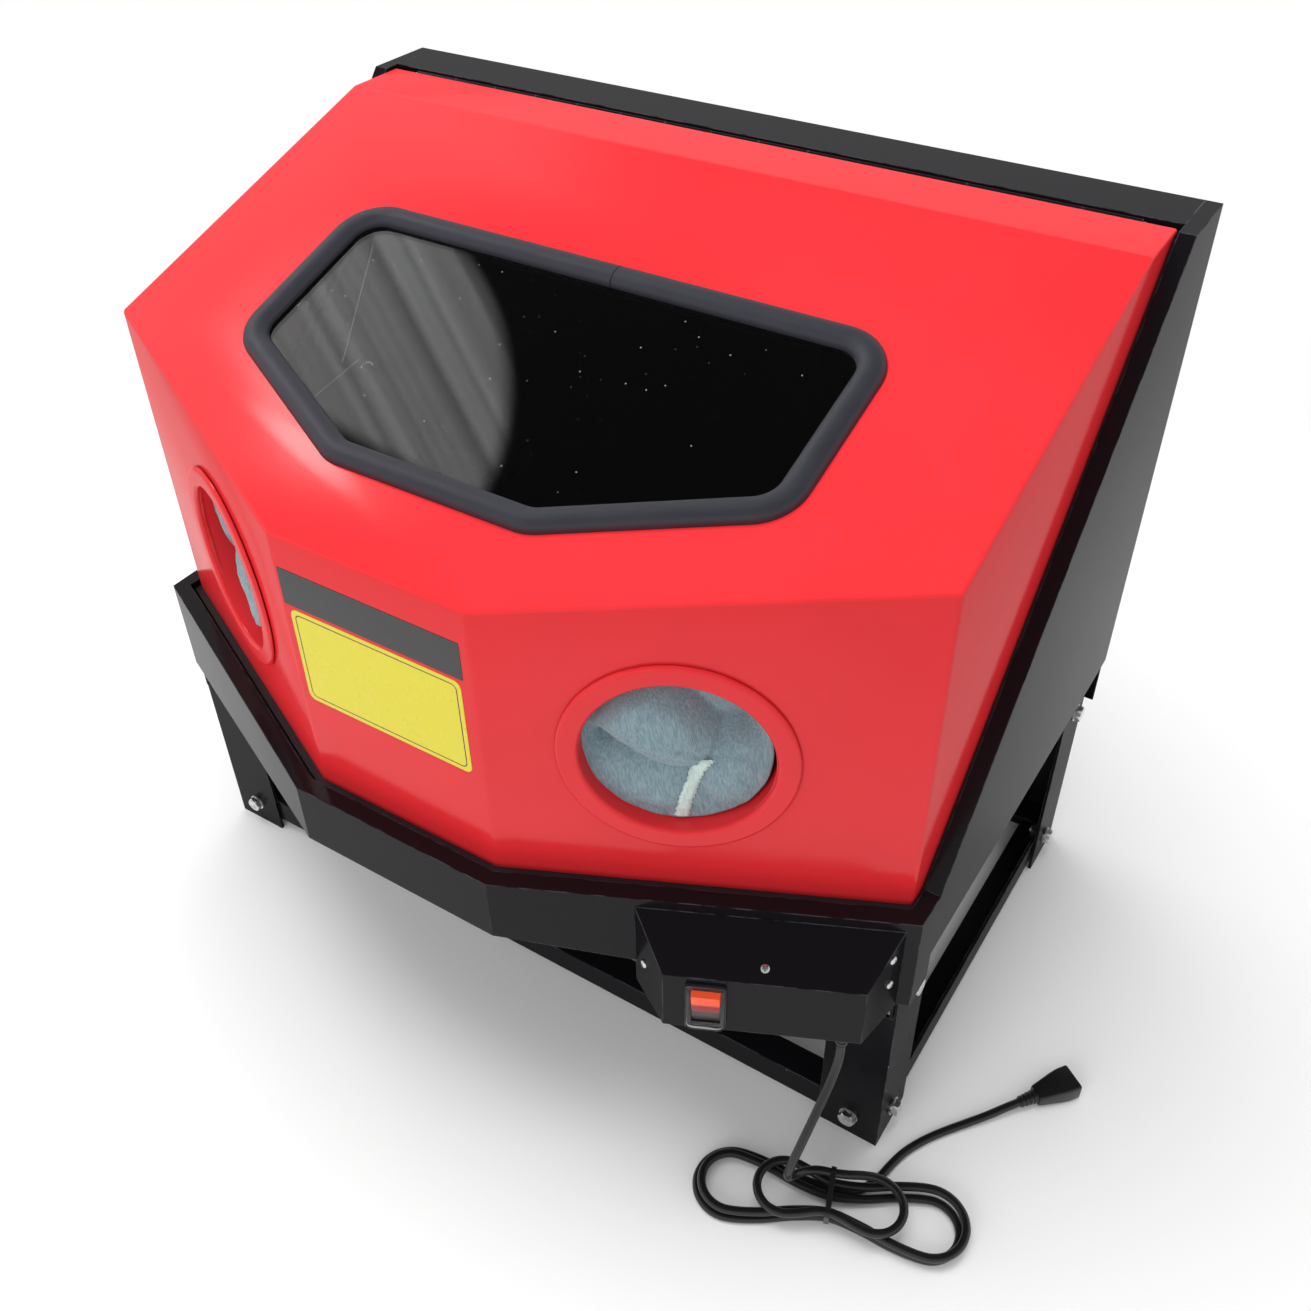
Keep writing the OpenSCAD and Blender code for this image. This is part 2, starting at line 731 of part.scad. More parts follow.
// Glove port: raised ring on the facet and a collar through it
module port_ring(s) {
    r1 = port_ring_d / 2;
    round_r = port_ring_h;
    color("#dc262c") on_side(s) on_facet(port_u, port_z) rotate_extrude($fn = 96) polygon(concat(
        [[port_r, -port_depth], [collar_r, -port_depth], [collar_r, 0]],
        [for (i = [0:6]) let (t = 90 * i / 6) [r1 - round_r + round_r * cos(t), round_r * sin(t)]],
        [for (i = [0:6]) let (t = 90 * i / 6) [port_r + round_r - round_r * sin(t), round_r * cos(t)]]
    ));
}
module port_ring_left() { port_ring(-1); }
module port_ring_right() { port_ring(1); }

// Glove, folded back into a short bag that is held over the collar
module glove(s) {
    bag = glove_depth - glove_end;
    r1 = glove_r + glove_t;
    lap = port_depth - glove_lap;
    color("#8a9a98") on_side(s) on_facet(port_u, port_z) rotate_extrude($fn = 72) polygon([
        [glove_r, -lap], [glove_r, -bag], [glove_r - glove_taper, -glove_depth + glove_t],
        [0, -glove_depth + glove_t], [0, -glove_depth], [r1 - glove_taper, -glove_depth], [r1, -bag], [r1, -lap]
    ]);
}
module glove_left() { glove(-1); }
module glove_right() { glove(1); }

// Band clamp that holds the glove on the collar, with its screw housing
module glove_clamp(s) {
    r0 = glove_r + glove_t + fit;
    mid = port_depth - glove_lap / 2;
    color("#b4b8b8") on_side(s) on_facet(port_u, port_z) translate([0, 0, -mid]) union() {
        difference() {
            translate([0, 0, -clamp_w / 2]) cylinder(r = r0 + clamp_t, h = clamp_w, $fn = 96);
            translate([0, 0, -clamp_w]) cylinder(r = r0, h = 2 * clamp_w, $fn = 96);
        }
        translate([-clamp_screw[0] / 2, r0 + clamp_t / 3, -clamp_w / 2])
            cube([clamp_screw[0], clamp_screw[1], clamp_w]);
    }
}
module glove_clamp_left() { glove_clamp(-1); }
module glove_clamp_right() { glove_clamp(1); }

// Hinge leaf: a plate with every other knuckle of the row; side is -1 on the hood and 1 on the tank
module hinge_leaf(side) {
    first = side < 0 ? 0 : 1;
    plate_y = side < 0 ? hood_back_y : strip_y - leaf_t;
    drop = knuckle_r + leaf_gap;
    color("#1a191c") union() {
        translate([-hinge_len / 2, plate_y, hinge_z - drop - leaf_h]) cube([hinge_len, leaf_t, leaf_h]);
        for (i = [first:2:knuckle_n - 1]) {
            x0 = -hinge_len / 2 + i * knuckle_len + knuckle_gap / 2;
            difference() {
                union() {
                    translate([x0, hinge_y, hinge_z]) rotate([0, 90, 0])
                        cylinder(r = knuckle_r, h = knuckle_len - knuckle_gap, $fn = 32);
                    translate([x0, plate_y, hinge_z - drop - cut])
                        cube([knuckle_len - knuckle_gap, leaf_t, drop + cut]);
                }
                translate([x0 - cut, hinge_y, hinge_z]) rotate([0, 90, 0])
                    cylinder(r = pin_r + pin_clear, h = knuckle_len + 2 * cut, $fn = 32);
            }
        }
    }
}
module hinge_leaf_hood() { hinge_leaf(-1); }
module hinge_leaf_tank() { hinge_leaf(1); }
module hinge_pin() {
    color("#a0a4a4") translate([-hinge_len / 2 - pin_out, hinge_y, hinge_z]) rotate([0, 90, 0])
        cylinder(r = pin_r, h = hinge_len + 2 * pin_out, $fn = 32);
}

// Wedge-shaped control box on the right skirt facet, moved in by g on every outer face
module box_form(g, back) {
    end_g = g * norm([box_taper, box_out]) / box_out;
    lid_g = g * norm([box_out, brow_dz]) / box_out;
    front_w = box_out - g;
    front_u = box_taper * front_w / box_out;
    back_u = box_taper * back / box_out;
    intersection() {
        translate([box_u, box_top_z, 0]) rotate([90, 0, 0]) linear_extrude(box_top_z - box_low_z - g) polygon([
            [end_g + back_u, back], [box_len - end_g - back_u, back],
            [box_len - end_g - front_u, front_w], [end_g + front_u, front_w]
        ]);
        across(0, big) polygon([
            [box_low_z, back], [box_low_z, front_w],
            [box_top_z - lid_g - brow_dz * front_w / box_out, front_w],
            [box_top_z - lid_g - brow_dz * back / box_out, back]
        ]);
    }
}
// Places children at every screw of the control box, Z outwards
module each_box_screw() {
    end_a = atan2(box_out, box_taper);
    end_u = box_taper * screw_w / box_out;
    translate([box_u + box_len / 2, box_top_z - brow_dz * lid_screw_w / box_out, lid_screw_w])
        rotate([-atan2(box_out, brow_dz), 0, 0]) children();
    translate([box_u + end_u, left_screw_z, screw_w]) rotate([0, -end_a, 0]) children();
    for (z = right_screw_z)
        translate([box_u + box_len - end_u, z, screw_w]) rotate([0, end_a, 0]) children();
}
module control_box() {
    color("#1c1b1e") on_skirt(0, 0) difference() {
        box_form(0, 0);
        box_form(box_t, -cut);
        translate([switch_u - switch_hole_w / 2, switch_z - switch_hole_h / 2, box_out - through / 4])
            cube([switch_hole_w, switch_hole_h, through / 2]);
        each_box_screw() translate([0, 0, -through / 2]) cylinder(r = screw_r + fit, h = through, $fn = 24);
        translate([outlet_u, box_low_z + through / 2, outlet_w]) rotate([90, 0, 0])
            cylinder(r = relief_r + fit, h = through);
    }
}
module box_screws() {
    color("#c8cdcd") on_skirt(0, 0) each_box_screw() union() {
        cylinder(r1 = head_rim, r2 = head_face, h = head_t, $fn = 24);
        translate([0, 0, -screw_len]) cylinder(r = screw_r, h = screw_len + head_t / 4, $fn = 24);
    }
}
// Rocker switch: bezel and body with a cavity and pivot bores
module switch_housing() {
    body_w = switch_hole_w - 2 * fit;
    body_h = switch_hole_h - 2 * fit;
    well_w = rocker_w + 1;
    well_h = rocker_h + 2.4;
    color("#18181a") on_skirt(switch_u, switch_z, box_out) difference() {
        union() {
            linear_extrude(bezel_t) polygon(rounded(slab_corners(switch_w, switch_h), switch_round, 4));
            translate([-body_w / 2, -body_h / 2, -switch_depth])
                cube([body_w, body_h, switch_depth + bezel_t / 2]);
        }
        translate([-well_w / 2, -well_h / 2, switch_floor - switch_depth])
            cube([well_w, well_h, switch_depth + bezel_t]);
        translate([-rocker_w / 2 - pivot_bore, 0, -pivot_in]) rotate([0, 90, 0])
            cylinder(r = pin_r + pin_clear, h = rocker_w + 2 * pivot_bore, $fn = 32);
    }
}
function slab_corners(w, h) = [[-w / 2, -h / 2], [w / 2, -h / 2], [w / 2, h / 2], [-w / 2, h / 2]];
// Red rocker on its pivot pin, stored with its lower end pressed in
module rocker() {
    end = rocker_h / 2;
    rise = 6.5;
    dip = 5;
    keel = [5, -7];
    color("#d8201c") on_skirt(switch_u, switch_z, box_out - pivot_in) rotate([rocker_throw / 2, 0, 0]) union() {
        across(-rocker_w / 2, rocker_w / 2) polygon([
            [-end, 0], [-end, rise], [0, dip], [end, rise], [end, 0], keel, [-keel[0], keel[1]]
        ]);
        translate([-rocker_w / 2 - pivot_out, 0, 0]) rotate([0, 90, 0])
            cylinder(r = pin_r, h = rocker_w + 2 * pivot_out, $fn = 32);
    }
}
// Clear splash boot over the switch
module switch_boot() {
    wall = 1.2;
    inner_h = 5.5;
    color([0.9, 0.9, 0.9, 0.4]) on_skirt(switch_u, switch_z, box_out + bezel_t) difference() {
        linear_extrude(inner_h + wall) polygon(rounded(slab_corners(switch_w, switch_h), switch_round, 4));
        translate([0, 0, -cut]) linear_extrude(inner_h + cut)
            polygon(rounded(slab_corners(switch_w - 2 * wall, switch_h - 2 * wall), switch_round - 1, 4));
    }
}

// A point at t, from 0 to 1, of the curve that four points steer
function cubic(p, t) = let (r = 1 - t)
    r * r * r * p[0] + 3 * r * r * t * p[1] + 3 * r * t * t * p[2] + t * t * t * p[3];

// Tube swept along points, closed by flat ends
function tangents(p) = let (n = len(p) - 1) [for (i = [0:n]) unit(p[min(i + 1, n)] - p[max(i - 1, 0)])];
function square_to(u, t) = unit(u - (u * t) * t);
function normals(t, u, i = 0) = i == len(t) ? [] :
    let (v = square_to(u, t[i])) concat([v], normals(t, v, i + 1));
module tube(path, r, sides) {
    t = tangents(path);
    u = normals(t, abs(t[0][2]) > 0.9 ? [1, 0, 0] : [0, 0, 1]);
    n = len(path);
    points = [for (i = [0:n - 1], j = [0:sides - 1])
        path[i] + r * (cos(360 * j / sides) * u[i] + sin(360 * j / sides) * cross(t[i], u[i]))];
    sides_faces = [for (i = [0:n - 2], j = [0:sides - 1])
        let (a = i * sides + j, b = i * sides + (j + 1) % sides)
        each [[a, a + sides, b + sides], [a, b + sides, b]]];
    start = [for (j = [1:sides - 2]) [0, j, j + 1]];
    last = (n - 1) * sides;
    finish = [for (j = [1:sides - 2]) [last, last + j + 1, last + j]];
    polyhedron(points, concat(sides_faces, start, finish), convexity = 8);
}

// One quarter of a loop, q from the waist to the tip, as [along, across]
function smooth(x) = x * x * (3 - 2 * x);
function lobe(q, a, b, w) = q < 0.5
    ? [(a - b) * 2 * q, w + (b - w) * smooth(2 * q)]
    : let (t = 180 * (q - 0.5)) [a - b + b * sin(t), b * cos(t)];
// The first loop is short and lies on top; the other two wind in and out again under it
function inset(s) = hank_step * max(0, min(s - 1, hank_loops - s));
function fall(s, from_to) = smooth(max(0, min(1, (s - from_to[0]) / (from_to[1] - from_to[0]))));
function layer_z(s) = hank_step * (len(hank_falls) -
    fall(s, hank_falls[0]) - fall(s, hank_falls[1]) - fall(s, hank_falls[2]));
// A point of the hank after s loops, starting at the waist's rear side and heading right
function hank_pt(s) =
    let (
        i = floor(s * 4 + 0.0001),
        f = s * 4 - i,
        k = i % 4,
        q = k % 2 == 0 ? f : 1 - f,
        d = inset(s),
        p = s < 1 ? lobe(q, short_half, short_round, hank_waist)
            : lobe(q, hank_half - d, hank_round - d, hank_waist - d * waist_step),
        side = k == 0 || k == 1 ? 1 : -1,
        face = k == 0 || k == 3 ? 1 : -1,
        lift = (tie_t + 2 * tie_gap) * (1 - smooth(min(1, p[0] / 40)))
    )
    hank_world([side * p[0], face * p[1], cord_d / 2 + 0.2 + layer_z(s) + lift]);
function hank_world(p) = [
    hank_at[0] + p[0] * cos(hank_turn) - p[1] * sin(hank_turn),
    hank_at[1] + p[0] * sin(hank_turn) + p[1] * cos(hank_turn),
    p[2]
];
along_hank = [cos(hank_turn), sin(hank_turn), 0];
hank_start = hank_pt(0) - cord_d * along_hank;
hank_end = hank_pt(hank_loops) + cord_d * along_hank;
// The free ends of the lead swing clear of the next turn
end_swing = 1.05 * [-sin(hank_turn), cos(hank_turn), 0];
end_stub = cord_d / 4 * along_hank;
hank_path = concat(
    [hank_start],
    [for (i = [0:hank_loops * loop_rings]) hank_pt(i / loop_rings)],
    [hank_end]
);
hank_gap = min([for (i = [0:len(hank_path) - 8], j = [i + 7:len(hank_path) - 1])
    norm(hank_path[i] - hank_path[j]) - cord_d]);
echo(hank_gap = hank_gap);

// Strain relief of the lead, tapering down from the box
module cord_gland() {
    flange_h = 3;
    neck_in = 6;
    color("#161618") translate([outlet[0], outlet[1], box_low_z]) union() {
        translate([0, 0, -flange_h]) cylinder(r = relief_r + flange_h, h = flange_h);
        translate([0, 0, -relief_len]) cylinder(r1 = cord_d / 2 + relief_wall, r2 = relief_r, h = relief_len);
        translate([0, 0, -cut]) cylinder(r = relief_r, h = box_t + neck_in + cut);
    }
}
module cord_drop() {
    exit = [outlet[0], outlet[1], box_low_z - relief_len];
    down = exit - [0, 0, drop_straight];
    meet = hank_start - end_stub;
    upper = [down, down - [0, 0, drop_pulls[0]], drop_low - drop_pulls[1] * drop_way, drop_low];
    lower = [drop_low, drop_low + drop_pulls[2] * drop_way, meet - drop_pulls[3] * along_hank, meet];
    color("#141416") tube(concat(
        [exit], [for (i = [0:drop_rings - 1]) cubic(upper, i / drop_rings)],
        [for (i = [0:drop_rings]) cubic(lower, i / drop_rings)], [hank_start]
    ), cord_d / 2, 10);
}
module cord_hank() { color("#141416") tube(hank_path, cord_d / 2, 6); }
module cord_lead() {
    back = [cos(plug_turn), sin(plug_turn), 0];
    tip = [plug_at[0], plug_at[1], plug_z];
    color("#141416") tube(concat(
        [hank_end, hank_end + end_stub, hank_end + cord_d * along_hank + end_swing], lead_route,
        [tip - cord_d * back, tip]
    ), cord_d / 2, 10);
}
// Wire tie round the waist of the hank
module cord_tie() {
    // Sections of the lead at the waist, as [across, up]
    waist = [for (s = [0:0.5:hank_loops]) let (p = hank_pt(s), d = hank_waist - inset(s) * waist_step)
        [s == floor(s) ? d : -d, p[2]]];
    color("#202022") translate([hank_at[0], hank_at[1], 0]) rotate([0, 0, hank_turn])
        across(-tie_w / 2, tie_w / 2) difference() {
            hull() for (p = waist) translate(p) circle(r = cord_d / 2 + tie_gap + tie_t, $fn = 24);
            hull() for (p = waist) translate(p) circle(r = cord_d / 2 + tie_gap, $fn = 24);
        }
}
// Moulded plug: ribbed boot and a flared body with three recessed contacts
module plug() {
    body_len = 37;
    small = [15, 12];
    large = [24, 16.5];
    flat_len = 10;
    boot_r = 5.5;
    rib = [2, 3.6, 1.8];
    slot_at = boot_len + body_len - 8;
    slot = [flat_len, 2, 6.5];
    slot_y = 6;
    earth_r = 2.4;
    earth_z = -4.5;
    color("#141416") translate([plug_at[0], plug_at[1], plug_z]) rotate([0, 0, plug_turn]) difference() {
        union() {
            rotate([0, 90, 0]) cylinder(r1 = cord_d / 2 + relief_wall, r2 = boot_r, h = boot_len);
            for (i = [0:3]) translate([rib[0] + i * rib[1], 0, 0]) rotate([0, 90, 0])
                cylinder(r = 5 + i * 0.3, h = rib[2]);
            hull() {
                translate([boot_len, -small[0] / 2, -small[1] / 2]) cube([1, small[0], small[1]]);
                translate([boot_len + body_len - flat_len, -large[0] / 2, -large[1] / 2])
                    cube([flat_len, large[0], large[1]]);
            }
        }
        for (y = [-slot_y, slot_y]) translate([slot_at, y - slot[1] / 2, -1]) cube(slot);
        translate([slot_at, 0, earth_z]) rotate([0, 90, 0]) cylinder(r = earth_r, h = flat_len, $fn = 24);
    }
}

// Perforated work shelf with turned-down edges, and the ledges that carry it
module work_shelf() {
    half = wall_x - seat_w - 4;
    plain = 30;
    nx = floor((2 * half - 2 * plain) / shelf_pitch);
    ny = floor((shelf_d - 2 * plain) / shelf_pitch);
    color("#26262a") translate([0, shelf_y1 - shelf_d / 2, shelf_z]) difference() {
        translate([-half, -shelf_d / 2, 0]) cube([2 * half, shelf_d, sheet_t]);
        for (i = [0:nx], j = [0:ny])
            translate([(i - nx / 2) * shelf_pitch, (j - ny / 2) * shelf_pitch, -cut])
                cylinder(r = shelf_hole_d / 2, h = sheet_t + 2 * cut, $fn = 24);
    }
}
module shelf_bracket(s) {
    drop = 20;
    at = [wall_x - shelf_ledge, shelf_y1 - shelf_d, shelf_z - sheet_t];
    color("#1e1c20") on_side(s) translate(at) union() {
        cube([shelf_ledge, shelf_d, sheet_t]);
        translate([shelf_ledge - sheet_t, 0, -drop]) cube([sheet_t, shelf_d, drop]);
    }
}
module shelf_bracket_left() { shelf_bracket(-1); }
module shelf_bracket_right() { shelf_bracket(1); }

// Submersible pump: inlet screen, body with its outlet, hose, spout pipe and bracket
module pump_screen() {
    slot = 4;
    wall = 3;
    color("#3a3a40") translate([pump_x, pump_y, floor_z]) difference() {
        cylinder(r = screen_r, h = screen_h);
        translate([0, 0, wall]) cylinder(r = screen_r - wall, h = screen_h);
        for (a = [0:30:150]) rotate([0, 0, a]) translate([-screen_r - cut, -slot / 2, slot])
            cube([2 * screen_r + 2 * cut, slot, screen_h - 2 * slot]);
    }
}
module pump_body() {
    lid_t = 3;
    color("#2c2c32") translate([pump_x, pump_y, floor_z + screen_h]) union() {
        cylinder(r = screen_r, h = lid_t);
        cylinder(r = pump_r, h = pump_h);
        cylinder(r = pipe_r, h = pump_h + barb_h);
    }
}
module pump_hose() {
    low = floor_z + screen_h + pump_h;
    color("#202024") translate([pump_x, pump_y, low]) difference() {
        cylinder(r = hose_r, h = hose_top - low);
        translate([0, 0, -cut]) cylinder(r = pipe_r + fit, h = hose_top - low + 2 * cut);
    }
}
module spout() {
    insert = 16;
    tip = 50;
    nozzle = 14;
    nozzle_r = [4, 8.5];
    color("#a8acac") translate([pump_x, pump_y, 0]) union() {
        translate([0, 0, hose_top - insert]) cylinder(r = pipe_r, h = spout_top - hose_top + insert);
        translate([0, -spout_bend, spout_top]) rotate([90, 0, 90]) rotate_extrude(angle = 180, $fn = 96)
            translate([spout_bend, 0]) circle(r = pipe_r, $fn = 32);
        translate([0, -2 * spout_bend, spout_top - tip]) cylinder(r = pipe_r, h = tip);
        translate([0, -2 * spout_bend, spout_top - tip - nozzle])
            cylinder(r1 = nozzle_r[0], r2 = nozzle_r[1], h = nozzle + 2);
    }
}
module spout_bracket() {
    w = 30;
    h = 18;
    lip = pipe_r + 5;
    below = 32;
    reach = back_y - sheet_t - pump_y;
    color("#1e1c20") translate([pump_x, pump_y, spout_top - below]) difference() {
        translate([-w / 2, -lip, 0]) cube([w, reach + lip, h]);
        translate([0, 0, -cut]) cylinder(r = pipe_r + fit, h = h + 2 * cut);
    }
}

// Pump cable along the tub floor to its gland in the skirt
module cable_gland() {
    out = 12;
    nut = 6;
    color("#161618") on_skirt(cable_u, cable_z, 0) union() {
        translate([0, 0, -gland_in]) cylinder(r = cable_gland_r, h = gland_in + out);
        translate([0, 0, -sheet_t - nut]) cylinder(r = cable_gland_r + 3, h = nut, $fn = 6);
    }
}
module pump_cable() {
    end = rim_xy(cable_u, -gland_in);
    lead_in = rim_xy(cable_u, -gland_in - 2 * cable_d);
    from = [pump_x - pump_r, pump_y];
    out = from - [cable_d, 0];
    plan = [out, out - [pump_r * 2.6, 0], lead_in + [-cable_bow, 3 * cable_bow], lead_in];
    z0 = floor_z + cable_d / 2 + fit;
    up_z = floor_z + screen_h + pump_h / 2;
    function height(t) =
        t < 0.2 ? up_z + (z0 - up_z) * smooth(t / 0.2) :
        t > 0.72 ? z0 + (cable_z - z0) * smooth((t - 0.72) / 0.28) : z0;
    route = [for (i = [0:cable_rings]) let (t = i / cable_rings, p = cubic(plan, t)) [p[0], p[1], height(t)]];
    color("#141416") tube(concat(
        [[from[0], from[1], up_z]], route, [[end[0], end[1], cable_z]]
    ), cable_d / 2, 8);
}

// Drain bung in the tub floor, and the plug that closes it from below
module drain_bung() {
    lip = 2;
    nut = 4;
    color("#8c8f90") translate([0, drain_y, floor_z]) difference() {
        union() {
            translate([0, 0, -bung_low]) cylinder(r = bung_r, h = bung_low + lip);
            cylinder(r = bung_flange_r, h = lip);
            translate([0, 0, -sheet_t - nut]) cylinder(r = bung_flange_r, h = nut);
        }
        translate([0, 0, -bung_low - cut]) cylinder(r = drain_d / 2, h = bung_low + lip + 2 * cut);
    }
}
module drain_plug() {
    head = 8;
    shank = 16;
    color("#b08d4a") translate([0, drain_y, floor_z - bung_low]) union() {
        cylinder(r = drain_d / 2 - fit, h = shank);
        translate([0, 0, -head]) cylinder(r = drain_d / 2 + 3, h = head, $fn = 6);
    }
}

tank_front();
tank_side_left();
tank_side_right();
tank_rear();
tank_floor();
rim_seal();
leg_front_left();
leg_front_right();
leg_rear_left();
leg_rear_right();
rail_front();
rail_rear();
rail_left();
rail_right();
leg_bolts();
leg_washers();
leg_nuts();
hood_top();
hood_front();
hood_side_left();
hood_side_right();
window_pane();
window_trim();
port_ring_left();
port_ring_right();
glove_left();
glove_right();
glove_clamp_left();
glove_clamp_right();
hinge_leaf_hood();
hinge_leaf_tank();
hinge_pin();
control_box();
box_screws();
switch_housing();
rocker();
switch_boot();
cord_gland();
cord_drop();
cord_hank();
cord_tie();
cord_lead();
plug();
work_shelf();
shelf_bracket_left();
shelf_bracket_right();
pump_screen();
pump_body();
pump_hose();
spout();
spout_bracket();
cable_gland();
pump_cable();
drain_bung();
drain_plug();
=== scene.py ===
"""Looks of a bench-top parts washer: a black steel tank on bolted legs, under a hinged red hood.

The hood has a window and two glove ports; a control box with a mains lead is on the tank's front.
"""

import math
import random

import bmesh
import bpy
from mathutils import Matrix, Vector, noise


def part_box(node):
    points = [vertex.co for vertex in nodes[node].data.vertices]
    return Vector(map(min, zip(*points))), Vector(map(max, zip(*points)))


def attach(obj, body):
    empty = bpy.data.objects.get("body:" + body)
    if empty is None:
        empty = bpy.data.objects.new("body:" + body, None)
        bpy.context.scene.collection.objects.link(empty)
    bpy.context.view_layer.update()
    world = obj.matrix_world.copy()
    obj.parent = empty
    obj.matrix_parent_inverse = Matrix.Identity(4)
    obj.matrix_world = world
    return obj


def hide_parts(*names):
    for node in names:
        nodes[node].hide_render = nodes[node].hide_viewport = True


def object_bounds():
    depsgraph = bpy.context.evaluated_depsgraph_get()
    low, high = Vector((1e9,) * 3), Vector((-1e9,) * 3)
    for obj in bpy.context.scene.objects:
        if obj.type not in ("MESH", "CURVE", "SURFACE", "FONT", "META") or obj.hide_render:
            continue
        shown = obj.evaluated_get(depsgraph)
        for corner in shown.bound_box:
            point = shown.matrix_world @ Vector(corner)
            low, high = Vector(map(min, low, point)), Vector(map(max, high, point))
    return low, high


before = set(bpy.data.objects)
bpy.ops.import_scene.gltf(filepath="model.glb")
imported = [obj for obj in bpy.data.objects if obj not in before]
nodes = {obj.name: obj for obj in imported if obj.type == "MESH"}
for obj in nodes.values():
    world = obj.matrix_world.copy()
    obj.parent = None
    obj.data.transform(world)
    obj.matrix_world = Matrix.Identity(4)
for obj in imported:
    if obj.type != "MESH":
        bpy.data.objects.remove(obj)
cad_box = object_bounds()

# Tank panels
# Front, sides, rear and floor are folded sheet steel, welded at the corners and sprayed gloss black.
# The spray leaves a fine orange peel and a few grains of grit, and the folds are worn thin and lightened by a
# painted highlight.
BLACK_PAINT = (0.0075, 0.0066, 0.0082, 1)
# Worn edges and folds: partly bare wear, partly a painted highlight standing in for the glint on the eased
# edges
BLACK_WORN_HIGHLIGHT = (0.22, 0.21, 0.24, 1)
GRIT = (0.42, 0.41, 0.40, 1)
# Radius of a grain as a share of its cell, how deep the mottle goes, and the height of the orange peel
GRIT_R, MOTTLE_DEEP, PEEL_H = 0.055, 0.86, 0.0004
# Scale, detail and roughness of the mottle, scale and detail of the wear and painted edge highlight, and the
# shades that break it
MOTTLE_NOISE, WEAR_HIGHLIGHT_NOISE, WEAR_HIGHLIGHT_BREAK = (9.0, 4.0, 0.6), (60.0, 5.0), (0.42, 0.56)
# How far the eased normal agrees with the flat one where the wear and painted highlight begin and where they
# are full
EDGE_TURN = (0.995, 0.90)
# The coat mirrors less where it is seen at a slant: from and to which facing, and what is left
DULL_FROM, DULL_FULL, DULL_MIRROR = 0.35, 0.76, 0.008


def new_group(name, inputs):
    """A shader node group with float inputs of these names and values: its tree, inputs and places."""
    tree = bpy.data.node_groups.new(name, "ShaderNodeTree")
    for label, value in inputs.items():
        tree.interface.new_socket(label, in_out="INPUT", socket_type="NodeSocketFloat").default_value = value
    return tree, tree.nodes.new("NodeGroupInput").outputs, put(tree, "TexCoord").outputs["Object"]


def close_group(tree, **results):
    """Gives a group its outputs and hands it back."""
    for label, socket in results.items():
        kind = "NodeSocketVector" if socket.type == "VECTOR" else "NodeSocketFloat"
        tree.interface.new_socket(label, in_out="OUTPUT", socket_type=kind)
    end = tree.nodes.new("NodeGroupOutput")
    for label, socket in results.items():
        tree.links.new(socket, end.inputs[label])
    return tree


def put(tree, kind, sockets=None, **settings):
    """Adds a shader node; a socket value that is itself a socket is linked."""
    made = tree.nodes.new(f"ShaderNode{kind}")
    for key, value in settings.items():
        setattr(made, key, value)
    for key, value in (sockets or {}).items():
        if isinstance(value, bpy.types.NodeSocket):
            tree.links.new(value, made.inputs[key])
        else:
            made.inputs[key].default_value = value
    return made


def use(material, group, **values):
    """Places a node group in a material with its own values."""
    made = material.node_tree.nodes.new("ShaderNodeGroup")
    made.node_tree = group
    for key, value in values.items():
        made.inputs[key.replace("_", " ")].default_value = value
    return made


def blend_colours(tree, mask, first, second):
    """A colour that goes from first to second with the mask."""
    made = put(tree, "Mix", data_type="RGBA")
    tree.links.new(mask, made.inputs[0])
    for socket, value in ((made.inputs[6], first), (made.inputs[7], second)):
        if isinstance(value, bpy.types.NodeSocket):
            tree.links.new(value, socket)
        else:
            socket.default_value = value
    return made.outputs[2]


def ramp(tree, value, over=(0.0, 1.0), to=(0.0, 1.0), soft=False):
    """A value that runs between the two of to while another crosses the two of over."""
    sockets = {"Value": value, "From Min": over[0], "From Max": over[1], "To Min": to[0], "To Max": to[1]}
    kind = "SMOOTHSTEP" if soft else "LINEAR"
    return put(tree, "MapRange", sockets, interpolation_type=kind).outputs[0]


def maths(tree, kind, a, b):
    """What one operation makes of two values."""
    return put(tree, "Math", {0: a, 1: b}, operation=kind).outputs[0]


def dot(tree, a, b):
    """How far one direction goes along another."""
    return put(tree, "VectorMath", {0: a, 1: b}, operation="DOT_PRODUCT").outputs["Value"]


def noise_at(tree, place, scale, detail, rough=0.5):
    """Soft noise over a place."""
    sockets = {"Vector": place, "Scale": scale, "Detail": detail, "Roughness": rough}
    return put(tree, "TexNoise", sockets).outputs[0]


def new_material(name):
    """A material with its node tree and its one shader."""
    material = bpy.data.materials.new(name)
    material.use_nodes = True
    return material, material.node_tree, material.node_tree.nodes["Principled BSDF"]


def colour_by(tree, shader, mask, first, second, rough):
    """Lets one mask drive a shader's colour and its roughness."""
    tree.links.new(blend_colours(tree, mask, first, second), shader.inputs["Base Color"])
    tree.links.new(ramp(tree, mask, to=rough), shader.inputs["Roughness"])


def roughen(tree, shader, height, strength, depth, edges=None):
    """Bumps a shader by a height, over eased edges where there are some."""
    bump = put(tree, "Bump", {"Height": height, "Strength": strength, "Distance": depth})
    if edges:
        tree.links.new(edges.outputs["Normal"], bump.inputs["Normal"])
    tree.links.new(bump.outputs[0], shader.inputs["Normal"])


